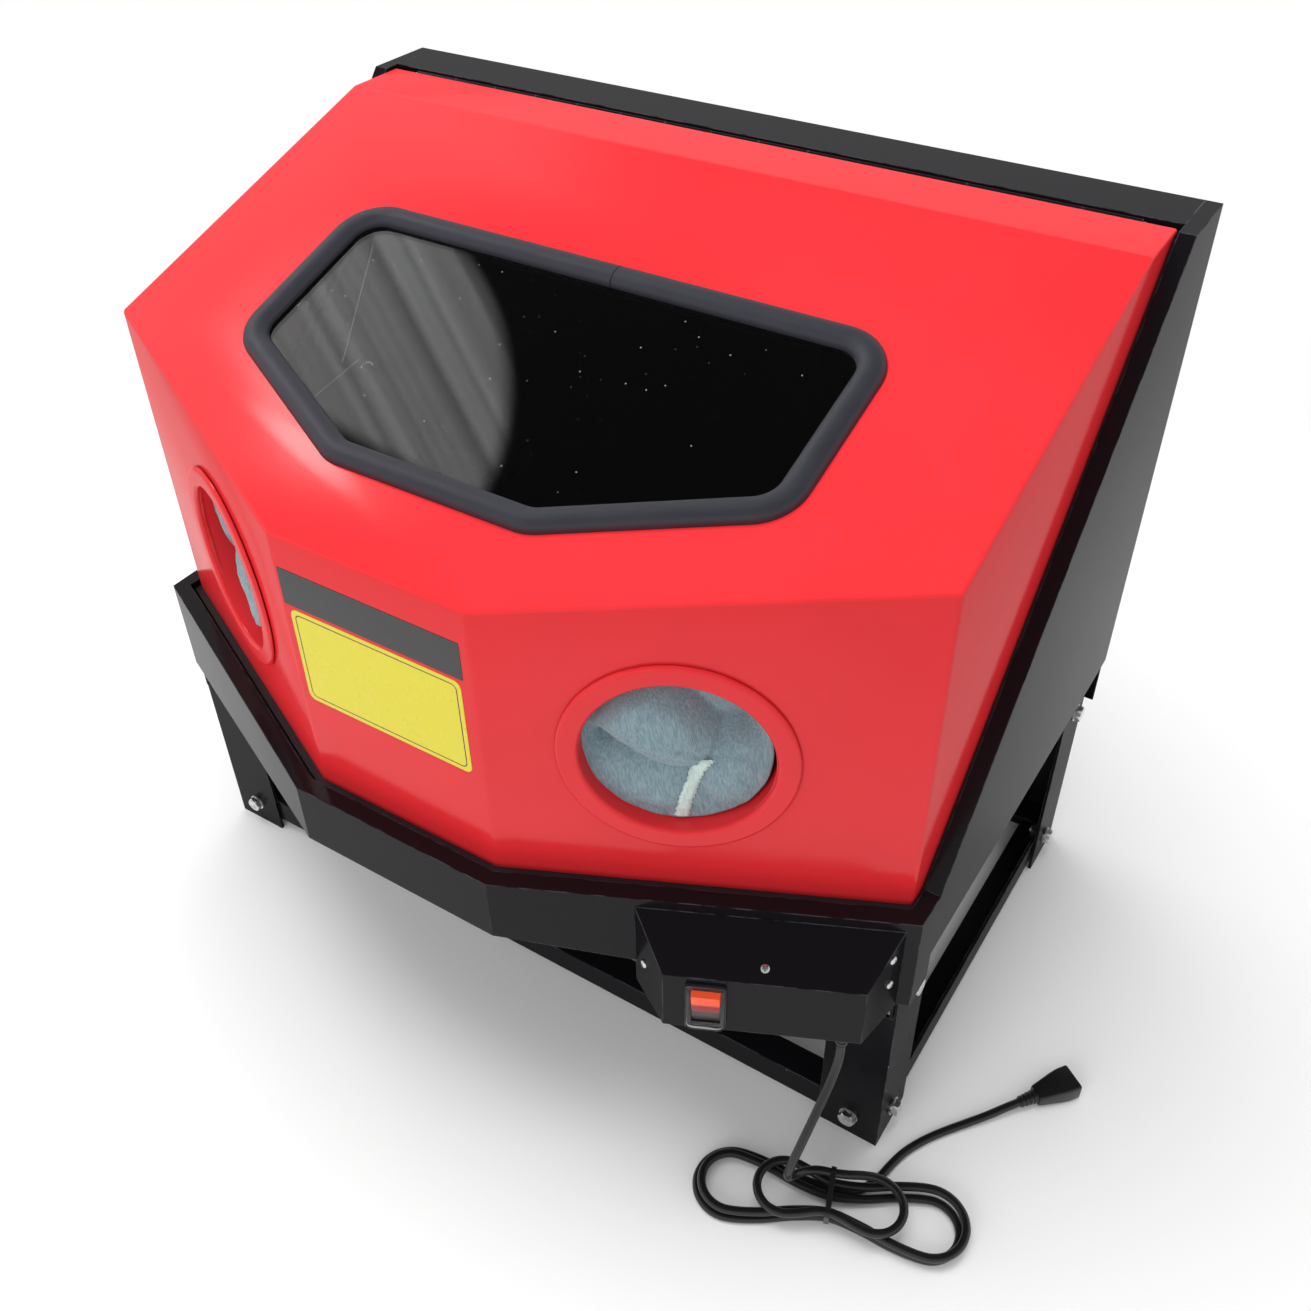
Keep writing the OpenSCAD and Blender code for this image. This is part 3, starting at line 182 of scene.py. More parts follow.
def spray_coat_group():
    """Sprayed paint: the height of its orange peel, a slow mottle and a mask of sparse grit."""
    tree, given, place = new_group("spray_coat", {"Peel Scale": 420, "Grit Scale": 70, "Grit Share": 0.05})
    cells = put(tree, "TexVoronoi", {"Vector": place, "Scale": given["Grit Scale"]}).outputs
    chance = put(tree, "SeparateColor", {"Color": cells["Color"]}).outputs["Red"]
    near = maths(tree, "LESS_THAN", cells["Distance"], GRIT_R)
    chosen = maths(tree, "LESS_THAN", chance, given["Grit Share"])
    return close_group(
        tree, Height=noise_at(tree, place, given["Peel Scale"], detail=1.0),
        Mottle=noise_at(tree, place, *MOTTLE_NOISE), Grit=maths(tree, "MULTIPLY", near, chosen),
    )


def eased_edge_group():
    """Eased edges of sheet and bar: a rounded normal at each edge, and a broken mask of wear and painted
    highlight there.
    """
    tree, given, place = new_group("eased_edge", {"Radius": 0.001, "Wear": 0.5})
    eased = put(tree, "Bevel", {"Radius": given["Radius"]}, samples=4).outputs[0]
    turned = ramp(tree, dot(tree, eased, put(tree, "NewGeometry").outputs["Normal"]), EDGE_TURN)
    patchy = ramp(tree, noise_at(tree, place, *WEAR_HIGHLIGHT_NOISE), WEAR_HIGHLIGHT_BREAK)
    # The mask marks the edges, broken by noise; it carries wear and a painted highlight along them.
    rubbed_and_lit = maths(tree, "MULTIPLY", turned, patchy)
    return close_group(tree, Normal=eased, Worn=maths(tree, "MULTIPLY", rubbed_and_lit, given["Wear"]))


spray_coat = spray_coat_group()
eased_edge = eased_edge_group()


def paint(name, colour, worn_highlight_colour, rough, grit_share, edge, wear_and_highlight, mirror, peel=0.06):
    """Gloss paint: grit, and worn edges with a painted highlight, in its colour, drifting roughness, orange
    peel over eased edges.
    """
    material, tree, shader = new_material(name)
    facing = put(tree, "LayerWeight").outputs["Facing"]
    dulled = ramp(tree, facing, (DULL_FROM, DULL_FULL), (mirror, DULL_MIRROR))
    shader.inputs["Specular IOR Level"].default_value = mirror
    tree.links.new(dulled, shader.inputs["Specular IOR Level"])
    coat = use(material, spray_coat, Grit_Share=grit_share)
    edges = use(material, eased_edge, Radius=edge, Wear=wear_and_highlight)
    deep = tuple(MOTTLE_DEEP * c for c in colour[:3]) + (1,)
    varied = blend_colours(tree, coat.outputs["Mottle"], deep, colour)
    # Edges take the worn colour, which lightens them as wear and as a painted highlight.
    rubbed_and_lit = blend_colours(tree, edges.outputs["Worn"], varied, worn_highlight_colour)
    tree.links.new(blend_colours(tree, coat.outputs["Grit"], rubbed_and_lit, GRIT), shader.inputs["Base Color"])
    tree.links.new(ramp(tree, coat.outputs["Mottle"], to=rough), shader.inputs["Roughness"])
    roughen(tree, shader, coat.outputs["Height"], peel, PEEL_H, edges)
    return material


def dress(material, *names):
    """Gives CAD nodes a material."""
    for name in names:
        nodes[name].data.materials.clear()
        nodes[name].data.materials.append(material)


black_paint = paint(
    "black_paint", BLACK_PAINT, BLACK_WORN_HIGHLIGHT,
    rough=(0.10, 0.20), grit_share=0.05, edge=0.0011, wear_and_highlight=0.5, mirror=0.12,
)
dress(black_paint, "tank_front", "tank_side_left", "tank_side_right", "tank_rear", "tank_floor")

# Legs and rails
# Folded steel angles, bolted to the tub walls and to each other, in the same black but a duller coat.
# They stand where the liquid drips, so they carry more grit, and more wear and painted highlight on the
# edges.
leg_paint = paint(
    "leg_paint", BLACK_PAINT, BLACK_WORN_HIGHLIGHT,
    rough=(0.20, 0.34), grit_share=0.09, edge=0.0009, wear_and_highlight=0.6, mirror=0.11,
)
dress(
    leg_paint, "leg_front_left", "leg_front_right", "leg_rear_left", "leg_rear_right",
    "rail_front", "rail_rear", "rail_left", "rail_right",
)

# Leg bolts, washers and nuts
# Hexagon bolts of bright zinc, each with a flat washer under its head and a nut behind.
# The head has a turned chamfer and a washer face, and the thread shows past the nut.
# Head, nut and washer have the usual shares of the bolt's diameter
BOLT_D = 0.008
HEAD_R = BOLT_D * 1.625 / 2 / math.cos(math.radians(30))
HEAD_H = BOLT_D * 0.66
NUT_H = BOLT_D * 0.8
WASHER_T = BOLT_D * 0.2
HEAD_SIDES, SHANK_SIDES = 48, 24
# Rings of the head: its seat, the ends of its flats, its turned corners and its crown
SEAT_R, SEAT_H, FLATS_FROM, FLATS_TO = 0.96, 0.0004, 0.0005, 0.82
TURNED_R, TURNED_TO, CROWN_R = 1.02, 0.97, 0.93
# Radii of the thread at its tip and in its grooves, as shares of the diameter
TIP_R, GROOVE_R = 0.42, 0.43
THREAD_PITCH, THREAD_OUT, THREAD_TIP = 0.00125, 0.002, 0.0006
LEG_T = 0.003
RAIL_T = 0.003
TUB_T = 0.002
BOLT_IN = 0.026
UPPER_BOLT_Z = 0.186
ZINC = (0.82, 0.84, 0.84, 1)
ZINC_DULL = (0.52, 0.53, 0.52, 1)
MARK_BUMP, MARK_H, BLOOM_EDGE = 0.12, 0.0002, (0.38, 0.66)
# Faces that meet at less than this angle, in degrees, are shaded as one
SMOOTH_UP_TO = 35.0


def zinc_bloom_group():
    """Plated zinc: a patchy bloom, and fine turning marks as height."""
    tree, given, place = new_group("zinc_bloom", {"Patch Scale": 160, "Mark Scale": 2600})
    bloom = ramp(tree, noise_at(tree, place, given["Patch Scale"], detail=5.0), BLOOM_EDGE)
    return close_group(tree, Bloom=bloom, Height=noise_at(tree, place, given["Mark Scale"], detail=2.0))


zinc_bloom = zinc_bloom_group()


def plated(name, bright, dull, rough, edge=0.0004):
    """Plated or turned metal with a bloom in its colour and roughness."""
    material, tree, shader = new_material(name)
    shader.inputs["Metallic"].default_value = 1.0
    bloom = use(material, zinc_bloom)
    edges = use(material, eased_edge, Radius=edge, Wear=0)
    colour_by(tree, shader, bloom.outputs["Bloom"], bright, dull, rough)
    roughen(tree, shader, bloom.outputs["Height"], MARK_BUMP, MARK_H, edges)
    return material


def join_rows(work, rows):
    """Joins rows of points by quads."""
    for low, high in zip(rows, rows[1:]):
        for i in range(len(low) - 1):
            work.faces.new((low[i], low[i + 1], high[i + 1], high[i]))


def loft(work, rings, closed=True):
    """Joins rings of points by quads, and closes both ends where asked."""
    join_rows(work, [ring + ring[:1] for ring in rings])
    if closed:
        work.faces.new(list(reversed(rings[0])))
        work.faces.new(rings[-1])


def lathe(work, rings, sides, matrix, closed=True):
    """Adds a turned skin to a bmesh.

    Rings are (radius, height) from one end to the other; a radius may be a list with one for each side.
    """
    turns = [math.tau * i / sides for i in range(sides)]
    skins = []
    for radius, height in rings:
        radii = radius if isinstance(radius, list) else [radius] * sides
        places = [Vector((r * math.cos(t), r * math.sin(t), height)) for r, t in zip(radii, turns)]
        skins.append([work.verts.new(matrix @ place) for place in places])
    loft(work, skins, closed)


def stand(name, data):
    """Puts data into the scene as an object."""
    made = bpy.data.objects.new(name, data)
    bpy.context.scene.collection.objects.link(made)
    return made


def as_object(name, work, material, smooth=SMOOTH_UP_TO):
    """Turns a bmesh into an object with smooth shading up to an angle in degrees."""
    bmesh.ops.recalc_face_normals(work, faces=work.faces)
    mesh = bpy.data.meshes.new(name)
    work.to_mesh(mesh)
    work.free()
    mesh.materials.append(material)
    mesh.polygons.foreach_set("use_smooth", [True] * len(mesh.polygons))
    mesh.set_sharp_from_angle(angle=math.radians(smooth))
    return stand(name, mesh)


def facing(point, axis):
    """A matrix at point whose Z looks along axis."""
    return Matrix.Translation(point) @ Vector(axis).to_track_quat("Z", "Y").to_matrix().to_4x4()


def hex_radii(flat_r, limit_r, sides):
    """Radii of a hexagon with its corners turned down to limit_r."""
    turns = [(math.tau * i / sides) % (math.tau / 6) - math.tau / 12 for i in range(sides)]
    return [min(limit_r, flat_r / math.cos(t)) for t in turns]


def leg_bolt(work, matrix, grip):
    """One bolt, head outwards from the leg's face, with its thread past the nut."""
    flat_r = HEAD_R * math.cos(math.radians(30))
    full = hex_radii(flat_r, HEAD_R, HEAD_SIDES)
    turned = hex_radii(flat_r, flat_r * TURNED_R, HEAD_SIDES)
    lathe(work, [
        (flat_r * SEAT_R, WASHER_T), (flat_r * SEAT_R, WASHER_T + SEAT_H), (full, WASHER_T + FLATS_FROM),
        (full, WASHER_T + HEAD_H * FLATS_TO), (turned, WASHER_T + HEAD_H * TURNED_TO),
        (flat_r * CROWN_R, WASHER_T + HEAD_H),
    ], HEAD_SIDES, matrix)
    end = -grip - NUT_H - THREAD_OUT
    z = end + THREAD_TIP
    rings = [(BOLT_D * TIP_R, end), (BOLT_D / 2, z)]
    while z < -grip - NUT_H + THREAD_PITCH:
        rings += [(BOLT_D * GROOVE_R, z + THREAD_PITCH / 2), (BOLT_D / 2, z + THREAD_PITCH)]
        z += THREAD_PITCH
    lathe(work, rings + [(BOLT_D / 2, WASHER_T)], SHANK_SIDES, matrix)


zinc = plated("zinc", ZINC, ZINC_DULL, rough=(0.24, 0.46))
work = bmesh.new()
leg_low, leg_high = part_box("leg_front_right")
rear_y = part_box("leg_rear_right")[1].y
rail_low, rail_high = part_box("rail_front")
rail_bolt_z = (rail_low.z + rail_high.z) / 2
for side in (-1, 1):
    face_x = side * leg_high.x
    for face_y, inward in ((leg_low.y, 1), (rear_y, -1)):
        cross = Vector((face_x - side * BOLT_IN, face_y, rail_bolt_z))
        leg_bolt(work, facing(cross, (0, -inward, 0)), LEG_T + RAIL_T)
        for z, behind in ((rail_bolt_z, RAIL_T), (UPPER_BOLT_Z, TUB_T)):
            beside = Vector((face_x, face_y + inward * BOLT_IN, z))
            leg_bolt(work, facing(beside, (side, 0, 0)), LEG_T + behind)
leg_bolts = as_object("leg_bolts_turned", work, zinc)
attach(leg_bolts, "tank")
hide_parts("leg_bolts")
dress(zinc, "leg_washers", "leg_nuts")

# Rim seal
# A flat strip of black sponge rubber, glued on the ledge that the closed hood rests on.
# It has an open, matt skin and greys where the hood presses it.
RUBBER = (0.012, 0.012, 0.014, 1)
RUBBER_GREY = (0.024, 0.024, 0.027, 1)
PEBBLE_H = 0.0003


def rubber_skin_group():
    """Rubber: a slow bloom of grey and a fine pebble as height."""
    tree, given, place = new_group("rubber_skin", {"Pebble Scale": 1500, "Bloom Scale": 40})
    bloom = noise_at(tree, place, given["Bloom Scale"], detail=4.0)
    return close_group(tree, Bloom=bloom, Height=noise_at(tree, place, given["Pebble Scale"], detail=2.0))


rubber_skin = rubber_skin_group()


def moulded(name, colour, grey, rough, pebble=1500, edge=0.0006, strength=0.25):
    """Rubber or moulded plastic: grey bloom in the colour, pebbled bump over eased edges."""
    material, tree, shader = new_material(name)
    skin = use(material, rubber_skin, Pebble_Scale=pebble)
    edges = use(material, eased_edge, Radius=edge, Wear=0)
    colour_by(tree, shader, skin.outputs["Bloom"], colour, grey, rough)
    roughen(tree, shader, skin.outputs["Height"], strength, PEBBLE_H, edges)
    return material


seal_rubber = moulded("seal_rubber", RUBBER, RUBBER_GREY, rough=(0.6, 0.85))
dress(seal_rubber, "rim_seal")

# Hood
# One shell of red gloss steel: nose and front facets, two sides, a sloping top and a level strip behind.
# The seams are welded and ground round, window and ports are cut out, and a flange behind takes the hinge.
SHEET = 0.002
FOLD_R = 0.0022
HOOD_STRIP = 0.054
NOSE_TOP_Z = 0.5094
RIM_Z = 0.285
# Where the slanted side rim of the tank starts and ends
SLANT_FOOT_Y, SLANT_TOP_Y = -0.1135, 0.207
FACET_TURN = math.radians(25.0)
HINGE_FLANGE, FLANGE_PAST = 0.024, 0.005
CUT_REACH, CUT_STEPS, PORT_SIDES = 0.01, 8, 96
PORT_U = 0.1285
PORT_Z = 0.401
PORT_R = 0.065
WINDOW_W = 0.470
WINDOW_TOP = 0.128
WINDOW_LEN = 0.237
WINDOW_SIDE = 0.163
WINDOW_R = 0.040
TRIM_W = 0.020
TRIM_WEB = 0.001
RED_PAINT = (0.80, 0.029, 0.036, 1)
# Worn folds and edges of the red: a pale pink that is partly wear and partly a painted highlight along the
# folds
RED_WORN_HIGHLIGHT = (0.90, 0.20, 0.22, 1)

front_low, front_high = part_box("hood_front")
top_low, top_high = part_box("hood_top")
corner = Vector((front_high.x, front_high.y, front_low.z))
nose_x = corner.x - (corner.y - front_low.y) / math.tan(FACET_TURN)
fold_y = top_high.y - HOOD_STRIP
top_slope = (top_high.z - NOSE_TOP_Z) / (fold_y - top_low.y)
top_turn = math.atan(top_slope)
hood_drop = RIM_Z - front_low.z
cab_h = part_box("tank_rear")[1].z
slant_shift = hood_drop * math.tan(math.atan2(cab_h - RIM_Z, SLANT_TOP_Y - SLANT_FOOT_Y) / 2)


def on_top(point):
    """A point of the sloping top: x across, y up the slope from the fold, z outwards."""
    x, y, z = point
    c, s = math.cos(top_turn), math.sin(top_turn)
    return Vector((x, fold_y + y * c - z * s, top_high.z + y * s + z * c))


def on_facet(side, u, v, w):
    """A point of a front facet: u from the nose corner, v up from the port's middle, w outwards."""
    c, s = math.cos(FACET_TURN), math.sin(FACET_TURN)
    return Vector((side * (nose_x + u * c + w * s), front_low.y + u * s - w * c, PORT_Z + v))


def window_corners(inset):
    """Corners of the window outline, moved in from the trim's outside."""
    half = WINDOW_W / 2 - inset
    steep = math.tan(FACET_TURN) / math.cos(top_turn)
    foot = WINDOW_TOP + WINDOW_LEN - inset
    foot_x = WINDOW_W / 2 - (WINDOW_LEN - WINDOW_SIDE) / steep - inset * math.tan(math.atan(steep) / 2)
    knee = foot - (half - foot_x) * steep
    return [Vector(p) for p in (
        (-half, -WINDOW_TOP - inset), (half, -WINDOW_TOP - inset), (half, -knee),
        (foot_x, -foot), (-foot_x, -foot), (-half, -knee),
    )]


def rounded(corners, radius, steps):
    """A closed outline with each corner turned into an arc."""
    points = []
    count = len(corners)
    for i, b in enumerate(corners):
        p, q = (corners[i - 1] - b).normalized(), (corners[(i + 1) % count] - b).normalized()
        half = math.acos(max(-1, min(1, p.dot(q)))) / 2
        middle = b + (p + q).normalized() * radius / math.sin(half)
        start = b + p * radius / math.tan(half) - middle
        turn = math.copysign(math.pi - 2 * half, -(p.x * q.y - p.y * q.x))
        for k in range(steps + 1):
            points.append(middle + Matrix.Rotation(turn * k / steps, 2) @ start)
    return points


def cut_by(target, *cutters):
    """Cuts solids out of an object and removes them."""
    for cutter in cutters:
        cut = target.modifiers.new("cut", "BOOLEAN")
        cut.object, cut.operation, cut.solver = cutter, "DIFFERENCE", "EXACT"
    bpy.context.view_layer.update()
    shaped = bpy.data.meshes.new_from_object(target.evaluated_get(bpy.context.evaluated_depsgraph_get()))
    target.modifiers.clear()
    target.data = shaped
    for cutter in cutters:
        bpy.data.objects.remove(cutter)
    shaped.set_sharp_from_angle(angle=math.radians(SMOOTH_UP_TO))


def hood_skin():
    """Outer skin of the hood with every fold and seam eased."""
    work = bmesh.new()
    points = {}
    corner_top = NOSE_TOP_Z + (corner.y - front_low.y) * top_slope
    rear_low = cab_h - hood_drop
    for side in (-1, 1):
        places = {
            "nose_low": (nose_x, front_low.y, front_low.z), "corner_low": corner,
            "crease": (corner.x, SLANT_FOOT_Y + slant_shift, front_low.z),
            "rear_low": (corner.x, SLANT_TOP_Y + slant_shift, rear_low),
            "back_low": (corner.x, top_high.y, rear_low), "back_top": (corner.x, top_high.y, top_high.z),
            "fold": (corner.x, fold_y, top_high.z), "corner_top": (corner.x, corner.y, corner_top),
            "nose_top": (nose_x, front_low.y, NOSE_TOP_Z),
        }
        for name, place in places.items():
            points[name, side] = work.verts.new((side * place[0], place[1], place[2]))

    def panel(*names):
        work.faces.new([points[n] for n in names])

    panel(("nose_low", -1), ("nose_low", 1), ("nose_top", 1), ("nose_top", -1))
    panel(("nose_top", -1), ("nose_top", 1), ("corner_top", 1), ("fold", 1), ("fold", -1), ("corner_top", -1))
    panel(("fold", -1), ("fold", 1), ("back_top", 1), ("back_top", -1))
    for s in (-1, 1):
        panel(("nose_low", s), ("corner_low", s), ("corner_top", s), ("nose_top", s))
        round_side = ("corner_low", "crease", "rear_low", "back_low", "back_top", "fold", "corner_top")
        panel(*[(name, s) for name in round_side])
    bmesh.ops.recalc_face_normals(work, faces=work.faces)
    folds = [e for e in work.edges if len(e.link_faces) == 2]
    bmesh.ops.bevel(work, geom=folds, offset=FOLD_R, segments=3, profile=0.5, affect="EDGES")
    return work


def plate(work, low, high, matrix=Matrix()):
    """Adds a box between two corners to a bmesh, in the matrix's own axes."""
    middle, size = (Vector(low) + Vector(high)) / 2, Vector(high) - Vector(low)
    for vert in bmesh.ops.create_cube(work, size=1.0)["verts"]:
        vert.co = matrix @ (middle + Vector(a * b for a, b in zip(vert.co, size)))


red_paint = paint(
    "red_paint", RED_PAINT, RED_WORN_HIGHLIGHT,
    rough=(0.12, 0.20), grit_share=0.012, edge=0.0011, wear_and_highlight=0.6, mirror=0.24, peel=0.09,
)
hood = as_object("hood_shell", hood_skin(), red_paint)
thick = hood.modifiers.new("thick", "SOLIDIFY")
thick.thickness, thick.offset, thick.use_even_offset = SHEET, -1, True
work = bmesh.new()
outline = rounded(window_corners(TRIM_W / 2 - TRIM_WEB / 2), WINDOW_R - TRIM_W / 2, CUT_STEPS)
loft(work, [[work.verts.new(on_top((p.x, p.y, z))) for p in outline] for z in (-CUT_REACH, CUT_REACH)])
cutters = [as_object("window_cut", work, red_paint)]
for side in (-1, 1):
    work = bmesh.new()
    outside, inside = (on_facet(side, PORT_U, 0, w) for w in (CUT_REACH, -CUT_REACH))
    bore = PORT_R + SHEET
    lathe(work, [(bore, 0), (bore, 2 * CUT_REACH)], PORT_SIDES, facing(outside, inside - outside))
    cutters.append(as_object("port_cut", work, red_paint))
cut_by(hood, *cutters)
work = bmesh.new()
flange_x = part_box("hinge_leaf_hood")[1].x + FLANGE_PAST
flange_low = (-flange_x, top_high.y - SHEET, top_high.z - HINGE_FLANGE)
plate(work, flange_low, (flange_x, top_high.y, top_high.z - SHEET / 2))
flange = as_object("hood_flange", work, red_paint)
for piece in (hood, flange):
    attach(piece, "hood")
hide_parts("hood_top", "hood_front", "hood_side_left", "hood_side_right")
dress(red_paint, "port_ring_left", "port_ring_right")

# Window pane and trim
# A flat pane of clear plastic in a black rubber weather strip, which grips the sheet and the pane.
# The strip is one length, bent round and cut square where its ends meet on the upper edge.
TRIM_H = 0.008
PANE_T = 0.004
TRIM_LOW, TRIM_EASE = 0.003, 0.001
TRIM_STEPS, TRIM_SQUARE, TRIM_ARC = 18, 0.8, 14
JOINT_X = 0.013
JOINT_GAP = 0.0006
TRIM_BLACK, TRIM_GREY = (0.017, 0.017, 0.025, 1), (0.028, 0.028, 0.038, 1)
PANE_SMOKE, PANE_CLEAR = (0.60, 0.62, 0.62, 1), (0.74, 0.75, 0.75, 1)
PANE_IOR = 1.58


def clear_plastic(name, bend, smear_scale, smeared, clean, rough):
    """Clear plastic that bends light by so much, with smears in its colour and roughness."""
    material, tree, shader = new_material(name)
    shader.inputs["Transmission Weight"].default_value = 1.0
    shader.inputs["IOR"].default_value = bend
    smears = use(material, rubber_skin, Bloom_Scale=smear_scale).outputs["Bloom"]
    colour_by(tree, shader, smears, smeared, clean, rough)
    return material


def trim_section():
    """The strip's section as (distance in from its outside, height above the sheet)."""
    half, web = TRIM_W / 2, TRIM_WEB / 2
    turns = [math.pi * i / TRIM_STEPS for i in range(TRIM_STEPS + 1)]
    bead = [(half - half * math.cos(t), TRIM_H * math.sin(t) ** TRIM_SQUARE) for t in turns]
    low = -PANE_T - TRIM_LOW
    return bead + [
        (half + web, 0), (half + web, -PANE_T), (TRIM_W, -PANE_T), (TRIM_W - TRIM_EASE, low),
        (TRIM_EASE, low), (0, -SHEET), (half - web, -SHEET), (half - web, 0),
    ]


def trim_path(inset):
    """The outline at this distance in, opened at the joint."""
    points = rounded(window_corners(inset), WINDOW_R - inset, TRIM_ARC)
    start = next(i for i, p in enumerate(points) if p.x > JOINT_X and abs(p.y + WINDOW_TOP + inset) < 1e-6)
    ring = points[start:] + points[:start]
    height = -WINDOW_TOP - inset
    return [Vector((JOINT_X + JOINT_GAP / 2, height))] + ring + [Vector((JOINT_X - JOINT_GAP / 2, height))]


trim_rubber = moulded("trim_rubber", TRIM_BLACK, TRIM_GREY, rough=(0.42, 0.58), pebble=1900)
work = bmesh.new()
skins = [[work.verts.new(on_top((p.x, p.y, h))) for p in trim_path(inset)] for inset, h in trim_section()]
join_rows(work, skins + skins[:1])
work.faces.new([s[0] for s in skins])
work.faces.new([s[-1] for s in skins])
trim = as_object("window_strip", work, trim_rubber, smooth=40)
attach(trim, "hood")
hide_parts("window_trim")
pane_clear = clear_plastic("pane_clear", PANE_IOR, 14, PANE_SMOKE, PANE_CLEAR, rough=(0.0, 0.03))
dress(pane_clear, "window_pane")

# Grit and drops on the pane
# Washing throws grains and drops up against the window, and some dry there.
# Each is a small flattened dome on the upper face; the scratches are fine raised hairs.
GRAINS, GRAIN_LIFT = 90, 0.00002
GRAIN_GREY, GRAIN_PALE = (0.26, 0.27, 0.27, 1), (0.48, 0.48, 0.48, 1)
# Rings of a grain: radius and height as shares of its radius
GRAIN_DOME, GRAIN_SIDES = ((1, 0), (0.9, 0.25), (0.45, 0.45)), 8
GRAIN_SIZES, RING_GRAINS = (0.0002, 0.0003, 0.0004, 0.0006), (0.0003, 0.0004, 0.0006)
# Half width of the field of grains, its margin, and where the narrow foot of the window starts
GRAIN_HALF, GRAIN_EDGE, FOOT_HALF, FOOT_EDGE = 0.20, 0.03, 0.10, 0.02
SCRATCHES = (((-0.1944, -0.1698), (-0.1349, -0.2826)), ((-0.1241, -0.2741), (-0.1330, -0.3209)))
SCRATCH_W = 0.00014
DRIED_RINGS, RING_R = ((-0.2050, -0.2452), (-0.1142, -0.2793)), 0.0040
# A dried ring is broken: its grains, and from where and how far apart they lie, in degrees
RING_COUNT, RING_FROM, RING_PITCH = 9, 40, 30


def on_pane(x, y):
    """A place on the pane, with Z outwards."""
    return Matrix.Translation(on_top((x, y, GRAIN_LIFT))) @ Matrix.Rotation(top_turn, 4, "X")


def grain(work, x, y, r):
    """A flattened dome on the pane."""
    lathe(work, [(r * a, r * b) for a, b in GRAIN_DOME], GRAIN_SIDES, on_pane(x, y))


random.seed(11)
work = bmesh.new()
for _ in range(GRAINS):
    x = random.uniform(-GRAIN_HALF, GRAIN_HALF)
    y = -random.uniform(WINDOW_TOP + GRAIN_EDGE, WINDOW_TOP + WINDOW_LEN - GRAIN_EDGE)
    if abs(x) < FOOT_HALF or -y < WINDOW_TOP + WINDOW_SIDE - FOOT_EDGE:
        grain(work, x, y, random.choice(GRAIN_SIZES))
for (x0, y0), (x1, y1) in SCRATCHES:
    run = Vector((x1 - x0, y1 - y0))
    here = on_pane(x0, y0) @ Matrix.Rotation(math.atan2(run.y, run.x), 4, "Z")
    plate(work, (0, -SCRATCH_W / 2, 0), (run.length, SCRATCH_W / 2, SCRATCH_W / 4), here)
for x, y in DRIED_RINGS:
    for i in range(RING_COUNT):
        t = math.radians(RING_PITCH * i + RING_FROM)
        grain(work, x + RING_R * math.cos(t), y + RING_R * math.sin(t), random.choice(RING_GRAINS))
grit_grey = moulded("grit_grey", GRAIN_GREY, GRAIN_PALE, rough=(0.4, 0.7))
grit = as_object("window_grit", work, grit_grey, smooth=80)
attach(grit, "hood")

# Gloves
# Long lined gloves, clamped over each port's collar and folded back into it; the lining bulges in lobes.
# A pale tape with a frayed edge covers the sewn seam; behind the panel the sleeve is a slack bag.
SLEEVE_R, SLEEVE_SIDES = 0.0703, 72
# Rings of the sleeve behind the panel, where it goes slack, and where its end draws in
SLEEVE_DEPTHS = (
    0.028, 0.030, 0.036, 0.042, 0.047, 0.052, 0.058, 0.065, 0.072, 0.080, 0.088, 0.096, 0.103, 0.108, 0.111,
)
SLACK_FROM, SLACK_RUN, DRAWN_FROM, SLEEVE_END, DRAWN_IN = 0.046, 0.02, 0.090, 0.112, 0.45
# How far the slack sleeve falls in: all round, in its pleats and in its creases
SLACK_FALL, PLEAT_FALL, CREASE_FALL = 0.002, 0.003, 0.005
LINING_R, LINING_SIDES, LINING_RINGS = PORT_R - 0.0006, 120, 56
SEAM = ((0.33, -0.13), (0.23, -0.30), (0.13, -0.62), (0.06, -0.97))
TAPE_W, TAPE_STEPS, TAPE_FRAY = 0.0095, 60, 0.0008
# Places across the tape with their height over the lining
TAPE_ACROSS = ((-1, 0.0005), (-0.4, 0.0011), (0.4, 0.0011), (1, 0.0005))
# Lobes of the lining: middle and half sizes as shares of the radius, turn in degrees, height from the panel
LOBES = (
    ((-0.34, 0.34), (1.00, 0.50), -40, 0.000), ((0.42, 0.70), (0.90, 0.70), 24, -0.026),
    ((0.72, -0.38), (0.70, 0.64), 16, -0.006), ((-0.30, -0.62), (0.95, 0.60), -6, -0.007),
)
LOBE_FALL, LINING_REST, PINCH_DEPTH, PINCH_REACH = 0.022, -0.034, 0.016, 0.25
RIM_LEVEL, RIM_FALL, RIM_FROM, RIM_SHIFT = -0.010, 0.016, 0.70, 0.1
# Heights of the folds pulled towards the seam, and of the crumple
PULL_H, CRUMPLE_H = 0.0011, 0.0016
PULLS, PULL_TWIST, PULL_FADE = 9, 5, 2.4
# Scale and cut of the crumple's noise, scale of the creases round and along the sleeve, and their fractals
CRUMPLE_SCALE, CRUMPLE_CUT, CRUMPLE_FRACTAL = 4.2, 3.7, (0.9, 2.1, 4)
CREASE_ROUND, CREASE_ALONG, CREASE_FRACTAL = 1.9, 26, (0.8, 2.0, 4)
PLEATS, PLEAT_TWIST = 14, 40
SLEEVE_WALL, LINING_WALL, TAPE_WALL = 0.0012, 0.0010, 0.0004
WEAVE_H, CLOTH_SHEEN, CLOTH_ROUGH = 0.0004, 0.25, 0.9
